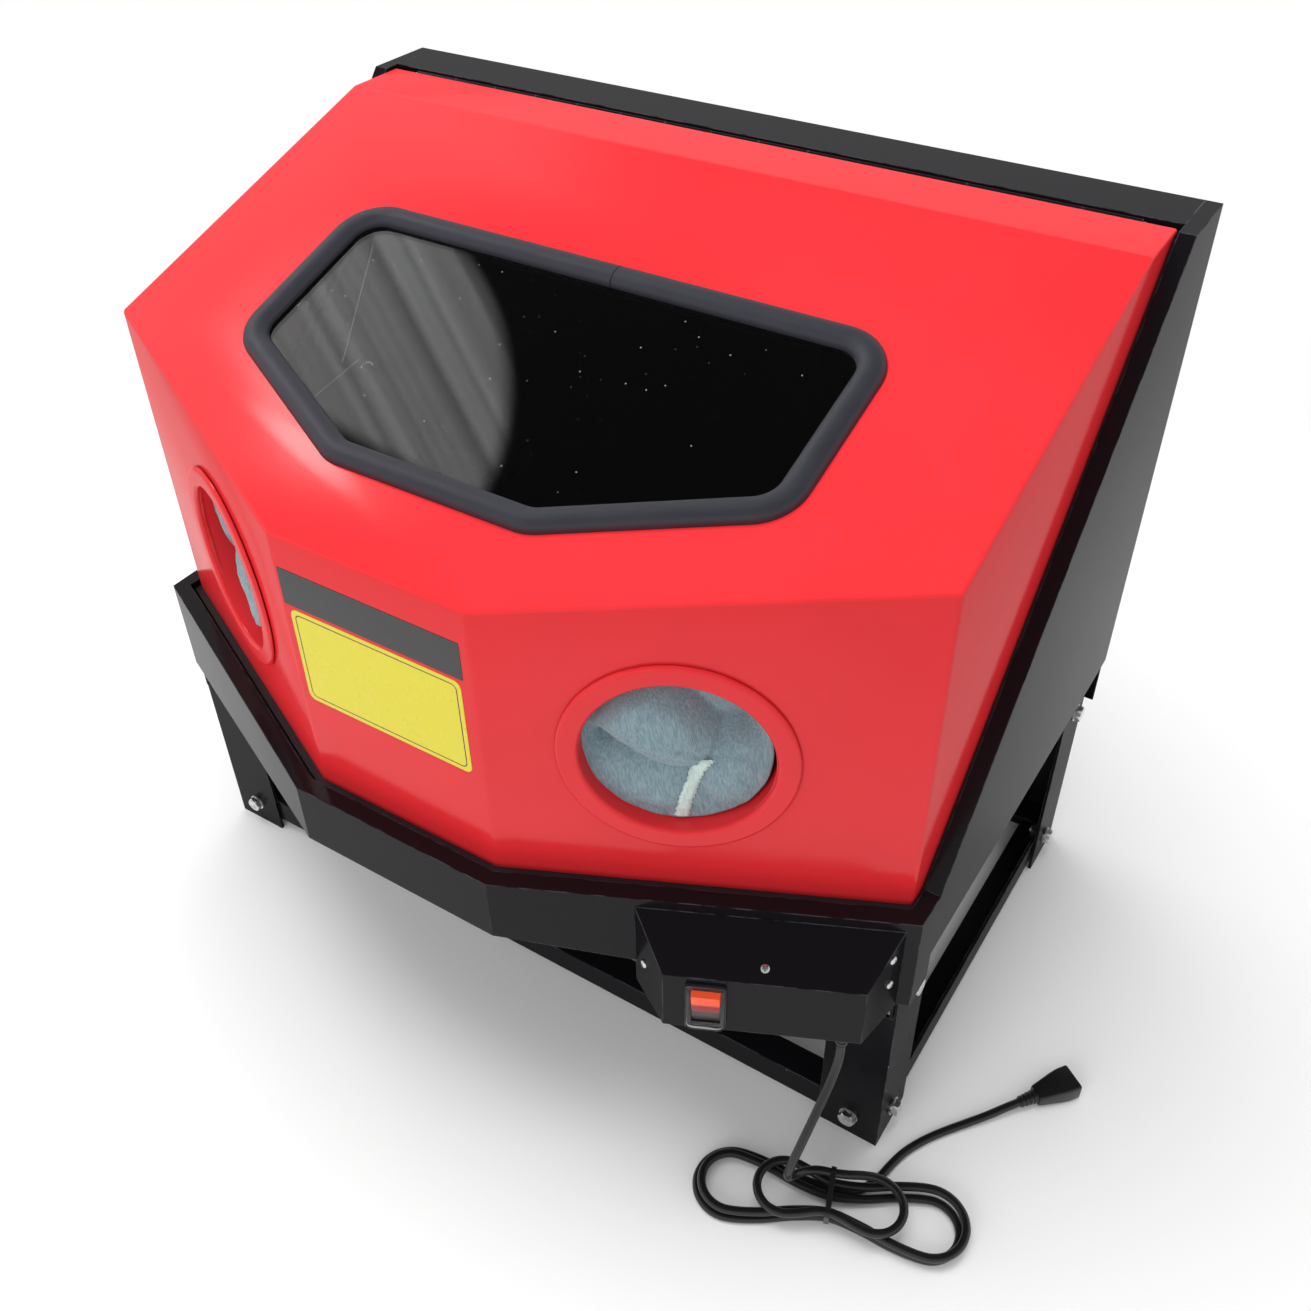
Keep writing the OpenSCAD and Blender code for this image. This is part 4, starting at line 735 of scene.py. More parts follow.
# Turn of the ribs in degrees, how long the heather is drawn, and the shades between which it runs
WEAVE_TURN, HEATHER_DRAWN, HEATHER_EDGE = 12, 0.14, (0.35, 0.68)
GLOVE_DARK, GLOVE_PALE = (0.172, 0.262, 0.302, 1), (0.290, 0.410, 0.455, 1)
TAPE_DARK, TAPE_PALE = (0.52, 0.66, 0.62, 1), (0.70, 0.84, 0.80, 1)


def within(x):
    """A number kept between 0 and 1."""
    return max(0.0, min(1.0, x))


def ease(x):
    """Smooth step from 0 to 1."""
    return x * x * (3 - 2 * x)


def lining_height(side, x, y):
    """Height of the lining at a point of the port, in shares of its radius; the left one is upside down."""
    y *= side
    away = math.hypot(x - SEAM[0][0], y - SEAM[0][1])
    best = LINING_REST - PINCH_DEPTH * math.exp(-(away / PINCH_REACH) ** 2)
    for (mx, my), (a, b), turn, top in LOBES:
        p = Matrix.Rotation(math.radians(-turn), 2) @ Vector((x - mx, y - my))
        best = max(best, top - LOBE_FALL * math.hypot(p.x / a, p.y / b) ** 3)
    pulled = math.sin(PULLS * math.atan2(y - SEAM[0][1], x - SEAM[0][0]) + PULL_TWIST * away)
    crumple = noise.fractal(Vector((CRUMPLE_SCALE * x, CRUMPLE_SCALE * y, CRUMPLE_CUT)), *CRUMPLE_FRACTAL)
    rim = RIM_LEVEL - RIM_FALL * ease(within(y + RIM_SHIFT))
    best += (rim - best) * ease(within((math.hypot(x, y) - RIM_FROM) / (1 - RIM_FROM)))
    return best + PULL_H * pulled * math.exp(-PULL_FADE * away) + CRUMPLE_H * crumple


def cloth_weave_group():
    """Knitted lining: fine ribs along the port's height with a heathered shade."""
    tree, given, place = new_group("cloth_weave", {"Rib Scale": 520, "Heather Scale": 900})
    turned = put(tree, "Mapping", {"Vector": place, "Rotation": (0, math.radians(WEAVE_TURN), 0)}).outputs[0]
    ribs = put(tree, "TexWave", {
        "Vector": turned, "Scale": given["Rib Scale"], "Distortion": 2.2, "Detail": 2.0,
    }).outputs["Fac"]
    long_grain = put(tree, "Mapping", {"Vector": turned, "Scale": (1, 1, HEATHER_DRAWN)}).outputs[0]
    heather = noise_at(tree, long_grain, given["Heather Scale"], detail=3.0)
    height = maths(tree, "ADD", ribs, heather)
    return close_group(tree, Height=height, Heather=ramp(tree, heather, HEATHER_EDGE))


cloth_weave = cloth_weave_group()


def cloth(name, dark, pale, rib, strength):
    """Knitted or taped cloth with a soft sheen."""
    material, tree, shader = new_material(name)
    shader.inputs["Sheen Weight"].default_value = CLOTH_SHEEN
    shader.inputs["Roughness"].default_value = CLOTH_ROUGH
    weave = use(material, cloth_weave, Rib_Scale=rib)
    tree.links.new(blend_colours(tree, weave.outputs["Heather"], dark, pale), shader.inputs["Base Color"])
    roughen(tree, shader, weave.outputs["Height"], strength, WEAVE_H)
    return material


def glove_lining(side):
    """The folded lining that fills the port, with its edge turned back along the collar."""
    work = bmesh.new()
    skins = []
    for k in range(1, LINING_RINGS + 1):
        ring = []
        for i in range(LINING_SIDES):
            t = math.tau * i / LINING_SIDES
            x, y = k / LINING_RINGS * math.cos(t), k / LINING_RINGS * math.sin(t)
            w = lining_height(side, x, y)
            ring.append(work.verts.new(on_facet(side, PORT_U + LINING_R * x, LINING_R * y, w)))
        skins.append(ring)
    hub = work.verts.new(on_facet(side, PORT_U, 0, lining_height(side, 0, 0)))
    for i, point in enumerate(skins[0]):
        work.faces.new((hub, point, skins[0][(i + 1) % LINING_SIDES]))
    loft(work, skins, closed=False)
    return work


def seam_tape(side):
    """A strip along the seam, its edge frayed, lying on the lining."""
    random.seed(5)
    work = bmesh.new()
    rows = []
    for k in range(TAPE_STEPS + 1):
        s = k / TAPE_STEPS * (len(SEAM) - 1)
        i = min(int(s), len(SEAM) - 2)
        f = s - i
        x = SEAM[i][0] * (1 - f) + SEAM[i + 1][0] * f
        y = side * (SEAM[i][1] * (1 - f) + SEAM[i + 1][1] * f)
        row = []
        for across, lift in TAPE_ACROSS:
            fray = random.uniform(-TAPE_FRAY, TAPE_FRAY) if abs(across) == 1 else 0
            shift = (across * TAPE_W / 2 + fray) / LINING_R
            w = lining_height(side, x + shift, y) + lift
            row.append(work.verts.new(on_facet(side, PORT_U + LINING_R * (x + shift), LINING_R * y, w)))
        rows.append(row)
    join_rows(work, rows)
    return work


def glove_sleeve(side):
    """The slack sleeve behind the panel, held round the collar by the clamp and creased below it."""
    work = bmesh.new()
    outwards = on_facet(side, PORT_U, 0, 1) - on_facet(side, PORT_U, 0, 0)
    base = facing(on_facet(side, PORT_U, 0, 0), outwards)
    rings = []
    for depth in SLEEVE_DEPTHS:
        slack = within((depth - SLACK_FROM) / SLACK_RUN)
        drawn = max(0.0, (depth - DRAWN_FROM) / (SLEEVE_END - DRAWN_FROM))
        radii = []
        for i in range(SLEEVE_SIDES):
            t = math.tau * i / SLEEVE_SIDES
            round_it = CREASE_ROUND * math.cos(t), CREASE_ROUND * math.sin(t)
            crease = noise.fractal(Vector((*round_it, CREASE_ALONG * depth)), *CREASE_FRACTAL)
            pleat = 0.5 + 0.5 * math.sin(PLEATS * t + PLEAT_TWIST * depth)
            fall = slack * (SLACK_FALL + PLEAT_FALL * pleat + CREASE_FALL * abs(crease))
            radii.append((SLEEVE_R - fall) * (1 - DRAWN_IN * drawn ** 2))
        rings.append((radii, -depth))
    lathe(work, rings, SLEEVE_SIDES, base, closed=False)
    work.faces.new(list(work.verts)[-SLEEVE_SIDES:])
    return work


glove_grey = cloth("glove_grey", GLOVE_DARK, GLOVE_PALE, rib=520, strength=0.5)
glove_tape = cloth("glove_tape", TAPE_DARK, TAPE_PALE, rib=900, strength=0.35)
for side, name in ((-1, "left"), (1, "right")):
    sleeve = as_object(f"glove_sleeve_{name}", glove_sleeve(side), glove_grey, smooth=70)
    lining = as_object(f"glove_lining_{name}", glove_lining(side), glove_grey, smooth=180)
    tape = as_object(f"glove_tape_{name}", seam_tape(side), glove_tape, smooth=60)
    for piece in (sleeve, lining, tape):
        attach(piece, "hood")
    for piece, wall in ((sleeve, SLEEVE_WALL), (lining, LINING_WALL), (tape, TAPE_WALL)):
        thick = piece.modifiers.new("wall", "SOLIDIFY")
        thick.thickness, thick.offset = wall, -1
    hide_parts(f"glove_{name}")
dress(zinc, "glove_clamp_left", "glove_clamp_right")

# Blank strip and card on the nose
# Two vinyl stickers below the window: a black strip, and a yellow card with round corners and a thin border.
# Both are left blank, and lie flat on the paint.
VINYL_T, BORDER_LIFT, BORDER_W = 0.00025, 0.00004, 0.0009
# Left, right, low and high edges on the nose
STRIP_EDGES, CARD_EDGES = (-0.080, 0.076, 0.452, 0.483), (-0.076, 0.073, 0.367, 0.449)
BORDER_EDGES = (-0.0725, 0.0695, 0.3705, 0.4455)
STRIP_R, CARD_R, BORDER_R, VINYL_STEPS = 0.001, 0.006, 0.005, 6
VINYL_ROUGH, VINYL_BUMP = (0.22, 0.34), 0.05
VINYL_BLACK, VINYL_BLACK_GREY = (0.008, 0.008, 0.009, 1), (0.013, 0.013, 0.014, 1)
VINYL_YELLOW, VINYL_YELLOW_PALE = (0.72, 0.63, 0.004, 1), (0.75, 0.66, 0.006, 1)


def oblong(x0, x1, y0, y1, radius, steps):
    """Outline of a rectangle with round corners."""
    return rounded([Vector(p) for p in ((x0, y0), (x1, y0), (x1, y1), (x0, y1))], radius, steps)


def vinyl(name, edges, radius, material, border=False):
    """A sticker on the nose, or only a thin border."""
    work = bmesh.new()
    x0, x1, z0, z1 = edges
    outer = oblong(*edges, radius, VINYL_STEPS)
    face_y = front_low.y - VINYL_T
    if border:
        inner = (x0 + BORDER_W, x1 - BORDER_W, z0 + BORDER_W, z1 - BORDER_W)
        face_y -= BORDER_LIFT
        outlines = [(outer, face_y), (oblong(*inner, radius - BORDER_W, VINYL_STEPS), face_y)]
    else:
        outlines = [(outer, front_low.y), (outer, face_y)]
    rings = [[work.verts.new((p.x, y, p.y)) for p in outline] for outline, y in outlines]
    loft(work, rings, closed=False)
    if not border:
        work.faces.new(rings[-1])
    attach(as_object(name, work, material), "hood")


vinyl_black = moulded("vinyl_black", VINYL_BLACK, VINYL_BLACK_GREY, VINYL_ROUGH, strength=VINYL_BUMP)
vinyl_yellow = moulded("vinyl_yellow", VINYL_YELLOW, VINYL_YELLOW_PALE, VINYL_ROUGH, strength=VINYL_BUMP)
vinyl("name_strip_blank", STRIP_EDGES, STRIP_R, vinyl_black)
vinyl("card_blank", CARD_EDGES, CARD_R, vinyl_yellow)
vinyl("card_border", BORDER_EDGES, BORDER_R, vinyl_black, border=True)

# Hinge
# A long piano hinge between the hood's flange and the lip of the top strip, painted over with the tank.
# Its pin is plain drawn steel.
dress(black_paint, "hinge_leaf_hood", "hinge_leaf_tank")
dress(zinc, "hinge_pin")

# Control box
# A wedge of folded black sheet on the right skirt, held by four pan-head screws with cross recesses.
# One screw is in the lid, one in the left end and two in the right end.
NOSE_HALF = 0.0905
BOX_U, BOX_LEN, BOX_TAPER, BOX_OUT = 0.105, 0.188, 0.024, 0.036
BOX_TOP_Z, BOX_BROW_Z, BOX_LOW_Z = 0.277, 0.251, 0.195
SCREW_R, SCREW_RIM, SCREW_DOME = 0.0034, 0.0004, 0.0017
SCREW_SIDES, DOME_STEPS, DOME_TOP = 32, 6, 0.12
# Cross recess of a screw: half length, half width and the height of its floor
CROSS_LONG, CROSS_WIDE, CROSS_FLOOR = 0.0019, 0.00042, 0.0010
# Screws of the ends: above the lower face at the left and right, and above the brow at the right
LEFT_SCREW_UP, RIGHT_SCREW_UP, BROW_SCREW_UP = 0.035, 0.039, 0.010
LID_SCREW = 0.75
tank_nose_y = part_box("tank_front")[0].y


def on_skirt(u, z, w):
    """A point of the right skirt facet: u from the nose corner, w outwards."""
    c, s = math.cos(FACET_TURN), math.sin(FACET_TURN)
    return Vector((NOSE_HALF + u * c + w * s, tank_nose_y + u * s - w * c, z))


def skirt_way(u, z, w):
    """A direction in the skirt's own axes, turned into the frame."""
    return on_skirt(u, z, w) - on_skirt(0, 0, 0)


def screw_head(matrix):
    """A domed head with a cross recess, as an object."""
    work = bmesh.new()
    turns = [math.pi / 2 * i / DOME_STEPS for i in range(DOME_STEPS)]
    dome = [(SCREW_R * math.cos(t), SCREW_RIM + SCREW_DOME * math.sin(t)) for t in turns]
    crown = (SCREW_R * DOME_TOP, SCREW_RIM + SCREW_DOME)
    lathe(work, [(SCREW_R, 0)] + dome + [crown], SCREW_SIDES, matrix)
    head = as_object("screw_head", work, zinc)
    cuts = []
    for half_x, half_y in ((CROSS_LONG, CROSS_WIDE), (CROSS_WIDE, CROSS_LONG)):
        work = bmesh.new()
        plate(work, (-half_x, -half_y, CROSS_FLOOR), (half_x, half_y, SCREW_R), matrix)
        cuts.append(as_object("recess", work, zinc))
    cut_by(head, *cuts)
    return head


brow = BOX_TOP_Z - BOX_BROW_Z
screw_w = BOX_OUT / 3
end_u = BOX_TAPER * screw_w / BOX_OUT
lid_place = on_skirt(BOX_U + BOX_LEN / 2, BOX_TOP_Z - brow * LID_SCREW, BOX_OUT * LID_SCREW)
left_place = on_skirt(BOX_U + end_u, BOX_LOW_Z + LEFT_SCREW_UP, screw_w)
screws = [(lid_place, skirt_way(0, BOX_OUT, brow)), (left_place, skirt_way(-BOX_OUT, 0, BOX_TAPER))]
for z in (BOX_LOW_Z + RIGHT_SCREW_UP, BOX_BROW_Z + BROW_SCREW_UP):
    screws.append((on_skirt(BOX_U + BOX_LEN - end_u, z, screw_w), skirt_way(BOX_OUT, 0, BOX_TAPER)))
heads = [screw_head(facing(place, way)) for place, way in screws]
for i, head in enumerate(heads):
    head.name = f"box_screw_{i + 1}"
    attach(head, "tank")
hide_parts("box_screws")
dress(black_paint, "control_box")

# Switch
# A black rocker switch snapped into the box front, with a lit red rocker and a clear soft boot over it.
# The boot is a thin dome with a flat rim, and keeps splashes off the contacts.
SWITCH_U, SWITCH_Z = 0.1595, 0.223
SWITCH_W, SWITCH_H = 0.029, 0.044
BEZEL_T = 0.0025
BOOT_WALL, BOOT_R, BOOT_IOR = 0.0010, 0.004, 1.07
# How much less the boot narrows in height than in width, its tightest corner, and the wall's share on top
BOOT_TALL, BOOT_CORNER, BOOT_TOP, BOOT_STEPS = 0.75, 0.6, 0.8, 5
# Rings of the boot: share of the rim's width, and height
BOOT_DOME = (
    (1.0, 0.0), (1.0, 0.0016), (0.97, 0.0034), (0.90, 0.0048), (0.76, 0.0057), (0.5, 0.0061), (0.15, 0.0062),
)
BOOT_SMEAR, BOOT_CLEAR = (0.86, 0.87, 0.88, 1), (0.95, 0.95, 0.95, 1)
# Heights from the rocker's middle at which its lamp and its dark lens begin and are full
LIT_FROM, LIT_FULL, LENS_FROM, LENS_FULL = -0.001, 0.004, -0.0075, -0.0062
ROCKER_LIT, ROCKER_RED, ROCKER_LENS = (0.85, 0.05, 0.02, 1), (0.42, 0.010, 0.012, 1), (0.085, 0.060, 0.064, 1)
GLOW_LIT, GLOW_RED, GLOW_LENS = (1.0, 0.12, 0.03, 1), (0.10, 0.002, 0.002, 1), (0, 0, 0, 1)
ROCKER_ROUGH, ROCKER_GLOW = 0.25, 0.55
SWITCH_BLACK, SWITCH_GREY = (0.012, 0.012, 0.014, 1), (0.022, 0.022, 0.026, 1)
switch_black = moulded("switch_black", SWITCH_BLACK, SWITCH_GREY, rough=(0.3, 0.42), strength=0.1)
dress(switch_black, "switch_housing")

rocker_red, tree, shader = new_material("rocker_red")
shader.inputs["Roughness"].default_value = ROCKER_ROUGH
shader.inputs["Emission Strength"].default_value = ROCKER_GLOW
height = put(tree, "SeparateXYZ", {"Vector": put(tree, "TexCoord").outputs["Object"]}).outputs["Z"]
lit, lens = (
    ramp(tree, height, (SWITCH_Z + a, SWITCH_Z + b))
    for a, b in ((LIT_FROM, LIT_FULL), (LENS_FROM, LENS_FULL))
)
for socket, dark, red, bright in (
    ("Base Color", ROCKER_LENS, ROCKER_RED, ROCKER_LIT), ("Emission Color", GLOW_LENS, GLOW_RED, GLOW_LIT),
):
    unlit = blend_colours(tree, lens, dark, red)
    tree.links.new(blend_colours(tree, lit, unlit, bright), shader.inputs[socket])
dress(rocker_red, "rocker")


def boot_rings(shrink, drop):
    """Outlines of the boot from its rim to the top of its dome, as (outline, height)."""
    rings = []
    for share, height in BOOT_DOME:
        w, h = (SWITCH_W / 2 - shrink) * share, (SWITCH_H / 2 - shrink) * (1 - (1 - share) * BOOT_TALL)
        outline = oblong(-w, w, -h, h, min(BOOT_R, w * BOOT_CORNER), BOOT_STEPS)
        rings.append((outline, max(0.0, height - drop)))
    return rings


work = bmesh.new()
rims = []
for shrink, drop in ((0.0, 0.0), (BOOT_WALL, BOOT_WALL * BOOT_TOP)):
    skins = []
    for outline, height in boot_rings(shrink, drop):
        out = BOX_OUT + BEZEL_T + height
        skins.append([work.verts.new(on_skirt(SWITCH_U + p.x, SWITCH_Z + p.y, out)) for p in outline])
    loft(work, skins, closed=False)
    work.faces.new(skins[-1])
    rims.append(skins[0])
loft(work, rims, closed=False)
bmesh.ops.remove_doubles(work, verts=work.verts, dist=1e-6)
boot_clear = clear_plastic("boot_clear", BOOT_IOR, 120, BOOT_SMEAR, BOOT_CLEAR, rough=(0.02, 0.16))
boot = as_object("switch_boot_dome", work, boot_clear, smooth=60)
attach(boot, "tank")
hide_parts("switch_boot")

# Strain relief
# A tapered rubber sleeve moulded on the lead, with a flange under the box and slots between its ribs.
# It lets the lead leave straight down and bend slowly.
CORD_D = 0.007
OUTLET_IN = 0.036
RELIEF_LEN, RELIEF_R, FLANGE_R, FLANGE_T, FLANGE_EASE = 0.028, 0.006, 0.009, 0.003, 0.0004
# Ribs of the sleeve: count, pitch, first height, length, taper from one to the next, and depth of the slots
RELIEF_RIBS, RIB_PITCH, RIB_FROM, RIB_LEN, RIB_TAPER, SLOT_DEEP = 5, 0.0046, -0.0042, 0.0026, 0.00032, 0.0009
# Slope beside a rib, floor of a slot, and the sleeve's margins on the lead near and at its end
RIB_SLOPE, SLOT_LEN, NEAR_MARGIN, END_MARGIN, END_EASE = 0.0003, 0.0014, 0.0008, 0.0003, 0.0006
TURNED_SIDES = 32
CORD_BLACK, CORD_GREY = (0.006, 0.006, 0.007, 1), (0.011, 0.011, 0.012, 1)
cord_rubber = moulded("cord_rubber", CORD_BLACK, CORD_GREY, rough=(0.24, 0.36), pebble=2400, strength=0.12)
outlet = on_skirt(BOX_U + BOX_LEN - OUTLET_IN, BOX_LOW_Z, BOX_OUT / 2)
rings = [
    (RELIEF_R, RELIEF_R), (RELIEF_R, 0.0), (FLANGE_R - FLANGE_EASE, -FLANGE_EASE / 2),
    (FLANGE_R, -2 * FLANGE_EASE), (FLANGE_R, FLANGE_EASE - FLANGE_T), (FLANGE_R - FLANGE_EASE, -FLANGE_T),
    (RELIEF_R + FLANGE_EASE / 2, -FLANGE_T),
]
for i in range(RELIEF_RIBS):
    z0, r0 = RIB_FROM - RIB_PITCH * i, RELIEF_R - RIB_TAPER * i
    slot_r, slot_z = r0 - SLOT_DEEP, z0 - RIB_LEN - RIB_SLOPE
    rings += [(r0, z0), (r0, z0 - RIB_LEN), (slot_r, slot_z), (slot_r, slot_z - SLOT_LEN)]
rings += [(CORD_D / 2 + NEAR_MARGIN, -RELIEF_LEN + END_EASE), (CORD_D / 2 + END_MARGIN, -RELIEF_LEN)]
work = bmesh.new()
lathe(work, rings, TURNED_SIDES, Matrix.Translation(outlet))
relief = as_object("strain_relief", work, cord_rubber)
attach(relief, "tank")
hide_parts("cord_gland")

# Mains lead
# A round black lead of 7 mm: out of the strain relief, down to the floor, folded into a hank held by a tie,
# and on along the floor to its plug. All of it shows in the photograph, so that is its whole length.
HANK_AT, HANK_TURN = Vector((0.3495, -0.2118)), math.radians(18.5)
HANK_LOOPS, HANK_HALF, HANK_ROUND = 3, 0.107, 0.030
HANK_WAIST, HANK_STEP, WAIST_STEP = 0.0142, 0.0079, 1.1
SHORT_HALF, SHORT_ROUND = 0.057, 0.022
HANK_FALLS = ((0, 0.2), (0.875, 1.05), (1.75, 2.25))
TIE_T, TIE_GAP, TIE_REACH, LOOP_RINGS = 0.0012, 0.0003, 0.040, 24
FLOOR_GAP = 0.0002
PLUG_AT, PLUG_TURN = Vector((0.442, -0.050, 0.0085)), math.radians(54.5)
DROP_LOW, DROP_WAY = Vector((0.3205, -0.229, 0.0485)), Vector((-0.1, 0.37, -1)).normalized()
DROP_STRAIGHT, DROP_PULLS, DROP_RINGS = 0.010, (0.035, 0.0335, 0.017, 0.0165), 12
LEAD_ROUTE = (
    (0.3625, -0.189, 0.0051), (0.3661, -0.1842, 0.0048), (0.3696, -0.177, 0.0043), (0.3728, -0.1675, 0.0038),
    (0.3757, -0.1539, 0.0038), (0.3802, -0.1385, 0.0038), (0.389, -0.1206, 0.0038), (0.4001, -0.1039, 0.0038),
    (0.4124, -0.0882, 0.0045), (0.425, -0.0727, 0.0062), (0.4334, -0.0615, 0.0077),
)
END_SWING, LINE_STEP = 0.00105, 0.0025


def hank_point(s):
    """A point of the hank after s loops, starting at the waist and heading right."""
    i = math.floor(s * 4 + 0.0001)
    f, k = s * 4 - i, i % 4
    q = f if k % 2 == 0 else 1 - f
    inset = HANK_STEP * max(0.0, min(s - 1, HANK_LOOPS - s))
    a, b, waist = HANK_HALF - inset, HANK_ROUND - inset, HANK_WAIST - inset * WAIST_STEP
    if s < 1:
        a, b, waist = SHORT_HALF, SHORT_ROUND, HANK_WAIST
    if q < 0.5:
        x, y = (a - b) * 2 * q, waist + (b - waist) * ease(2 * q)
    else:
        t = math.pi * (q - 0.5)
        x, y = a - b + b * math.sin(t), b * math.cos(t)
    layer = HANK_STEP * sum(1 - ease(within((s - s0) / (s1 - s0))) for s0, s1 in HANK_FALLS)
    lift = (TIE_T + 2 * TIE_GAP) * (1 - ease(min(1.0, x / TIE_REACH)))
    flat = HANK_AT + Matrix.Rotation(HANK_TURN, 2) @ Vector((x if k < 2 else -x, y if k in (0, 3) else -y))
    return Vector((flat.x, flat.y, CORD_D / 2 + FLOOR_GAP + layer + lift))


def cubic(points, t):
    """A point of the curve from the first of four points to the last, which leans to the other two."""
    weights = [c * (1 - t) ** (3 - k) * t ** k for k, c in enumerate((1, 3, 3, 1))]
    return sum((p * weight for p, weight in zip(points, weights)), Vector())


def flowing(points, step):
    """Points of a smooth curve through these ones, about a step apart."""
    out = []
    for i in range(len(points) - 1):
        p0, p1, p2, p3 = points[max(i - 1, 0)], points[i], points[i + 1], points[min(i + 2, len(points) - 1)]
        d1 = (p2 - p0) * ((p2 - p1).length / max((p2 - p1).length + (p1 - p0).length, 1e-9))
        d2 = (p3 - p1) * ((p2 - p1).length / max((p3 - p2).length + (p2 - p1).length, 1e-9))
        count = max(1, round((p2 - p1).length / step))
        for k in range(count):
            t = k / count
            out.append(
                p1 * (2 * t ** 3 - 3 * t ** 2 + 1) + d1 * (t ** 3 - 2 * t ** 2 + t)
                + p2 * (3 * t ** 2 - 2 * t ** 3) + d2 * (t ** 3 - t ** 2)
            )
    return out + [points[-1]]


along = Vector((math.cos(HANK_TURN), math.sin(HANK_TURN), 0))
swing = Vector((-math.sin(HANK_TURN), math.cos(HANK_TURN), 0)) * END_SWING
plug_way = Vector((math.cos(PLUG_TURN), math.sin(PLUG_TURN), 0))
cord_exit = outlet - Vector((0, 0, RELIEF_LEN))
first, last = hank_point(0), hank_point(HANK_LOOPS)
down, meet = cord_exit - Vector((0, 0, DROP_STRAIGHT)), first - CORD_D * along
upper = (down, down - Vector((0, 0, DROP_PULLS[0])), DROP_LOW - DROP_PULLS[1] * DROP_WAY, DROP_LOW)
lower = (DROP_LOW, DROP_LOW + DROP_PULLS[2] * DROP_WAY, meet - DROP_PULLS[3] * along, meet)
route = [cord_exit] + [cubic(upper, i / DROP_RINGS) for i in range(DROP_RINGS)]
route += [cubic(lower, i / DROP_RINGS) for i in range(DROP_RINGS + 1)]
route += [hank_point(i / LOOP_RINGS) for i in range(HANK_LOOPS * LOOP_RINGS + 1)]
route += [last + CORD_D * along, last + 2 * CORD_D * along + swing] + [Vector(p) for p in LEAD_ROUTE]
route += [PLUG_AT - CORD_D * plug_way, PLUG_AT]
line = flowing(route, LINE_STEP)
curve = bpy.data.curves.new("mains_lead", "CURVE")
curve.dimensions, curve.bevel_depth, curve.bevel_resolution, curve.use_fill_caps = "3D", CORD_D / 2, 5, True
spline = curve.splines.new("POLY")
spline.points.add(len(line) - 1)
for point, place in zip(spline.points, line):
    point.co = (*place, 1)
spline.use_smooth = True
curve.materials.append(cord_rubber)
lead = stand("mains_lead", curve)
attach(lead, "tank")
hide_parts("cord_drop", "cord_hank", "cord_lead")
dress(cord_rubber, "cord_tie")

# Plug
# A moulded connector at the end of the lead: a ribbed boot, then a flared block with grips and three slots.
# Its contacts are recessed, so none shows from outside.
BOOT_LEN, BODY_LEN, PLUG_STEPS = 0.016, 0.037, 4
# Ribs of the boot: count, pitch, first place, first radius, growth from one to the next, and depth between
BOOT_RIBS, BOOT_PITCH, BOOT_FROM, BOOT_RIB_R, BOOT_GROW, BOOT_DEEP = 4, 0.0037, 0.0012, 0.0048, 0.0003, 0.0009
BOOT_END_R, BOOT_SINK, BOOT_MARGIN = 0.0056, 0.002, 0.0004
# Places on a rib of the boot: the start and end of its top, and its far foot
RIB_START, RIB_END, RIB_FOOT = 0.0003, 0.0021, 0.0024
# Sections of the block: place along it, half width, half height and corner radius
PLUG_SECTIONS = (
    (0.0000, 0.0068, 0.0054, 0.0020), (0.0012, 0.0075, 0.0060, 0.0024), (0.0200, 0.0110, 0.0078, 0.0024),
    (0.0270, 0.0120, 0.00825, 0.0024), (0.0362, 0.0120, 0.00825, 0.0024), (0.0370, 0.0113, 0.0076, 0.0020),
)
# Grip ribs on the upper face, which rises from one height to another over its run
GRIPS, GRIP_LEN, GRIP_H = (0.008, 0.012, 0.016, 0.020), 0.0018, 0.0006
GRIP_HALF, GRIP_FLARE, FACE_LOW, FACE_HIGH, FACE_RUN = 0.0062, 0.10, 0.0060, 0.0078, 0.020
# Slots of the contacts: depth, places and half width of the two flat ones, and the round one
SLOT_IN, SLOT_PAST, SLOT_Y, SLOT_HALF, SLOT_LOW, SLOT_HIGH = 0.008, 0.002, 0.006, 0.001, -0.001, 0.0055
EARTH_R, EARTH_Z, EARTH_SIDES = 0.0022, -0.0040, 24
plug_frame = Matrix.Translation(PLUG_AT) @ Matrix.Rotation(PLUG_TURN, 4, "Z")
turn_x = Matrix.Rotation(math.pi / 2, 4, "Y")

work = bmesh.new()
rings = [(CORD_D / 2 + BOOT_MARGIN, 0.0)]
for i in range(BOOT_RIBS):
    x0, r0 = BOOT_FROM + BOOT_PITCH * i, BOOT_RIB_R + BOOT_GROW * i
    groove = r0 - BOOT_DEEP
    rings += [(groove, x0), (r0, x0 + RIB_START), (r0, x0 + RIB_END), (groove, x0 + RIB_FOOT)]
rings += [(BOOT_END_R, BOOT_LEN), (BOOT_END_R, BOOT_LEN + BOOT_SINK)]
lathe(work, rings, TURNED_SIDES, plug_frame @ turn_x)
skins = []
for x, w, h, r in PLUG_SECTIONS:
    outline = oblong(-w, w, -h, h, r, PLUG_STEPS)
    skins.append([work.verts.new(plug_frame @ Vector((BOOT_LEN + x, p.x, p.y))) for p in outline])
loft(work, skins)
for x in GRIPS:
    half = GRIP_HALF + GRIP_FLARE * x
    rise = FACE_LOW + (FACE_HIGH - FACE_LOW) * x / FACE_RUN
    low, high = (BOOT_LEN + x, -half, rise - GRIP_H), (BOOT_LEN + x + GRIP_LEN, half, rise + GRIP_H)
    plate(work, low, high, plug_frame)
plug = as_object("plug_moulded", work, cord_rubber)
slot_from, slot_to = BOOT_LEN + BODY_LEN - SLOT_IN, BOOT_LEN + BODY_LEN + SLOT_PAST
cuts = []
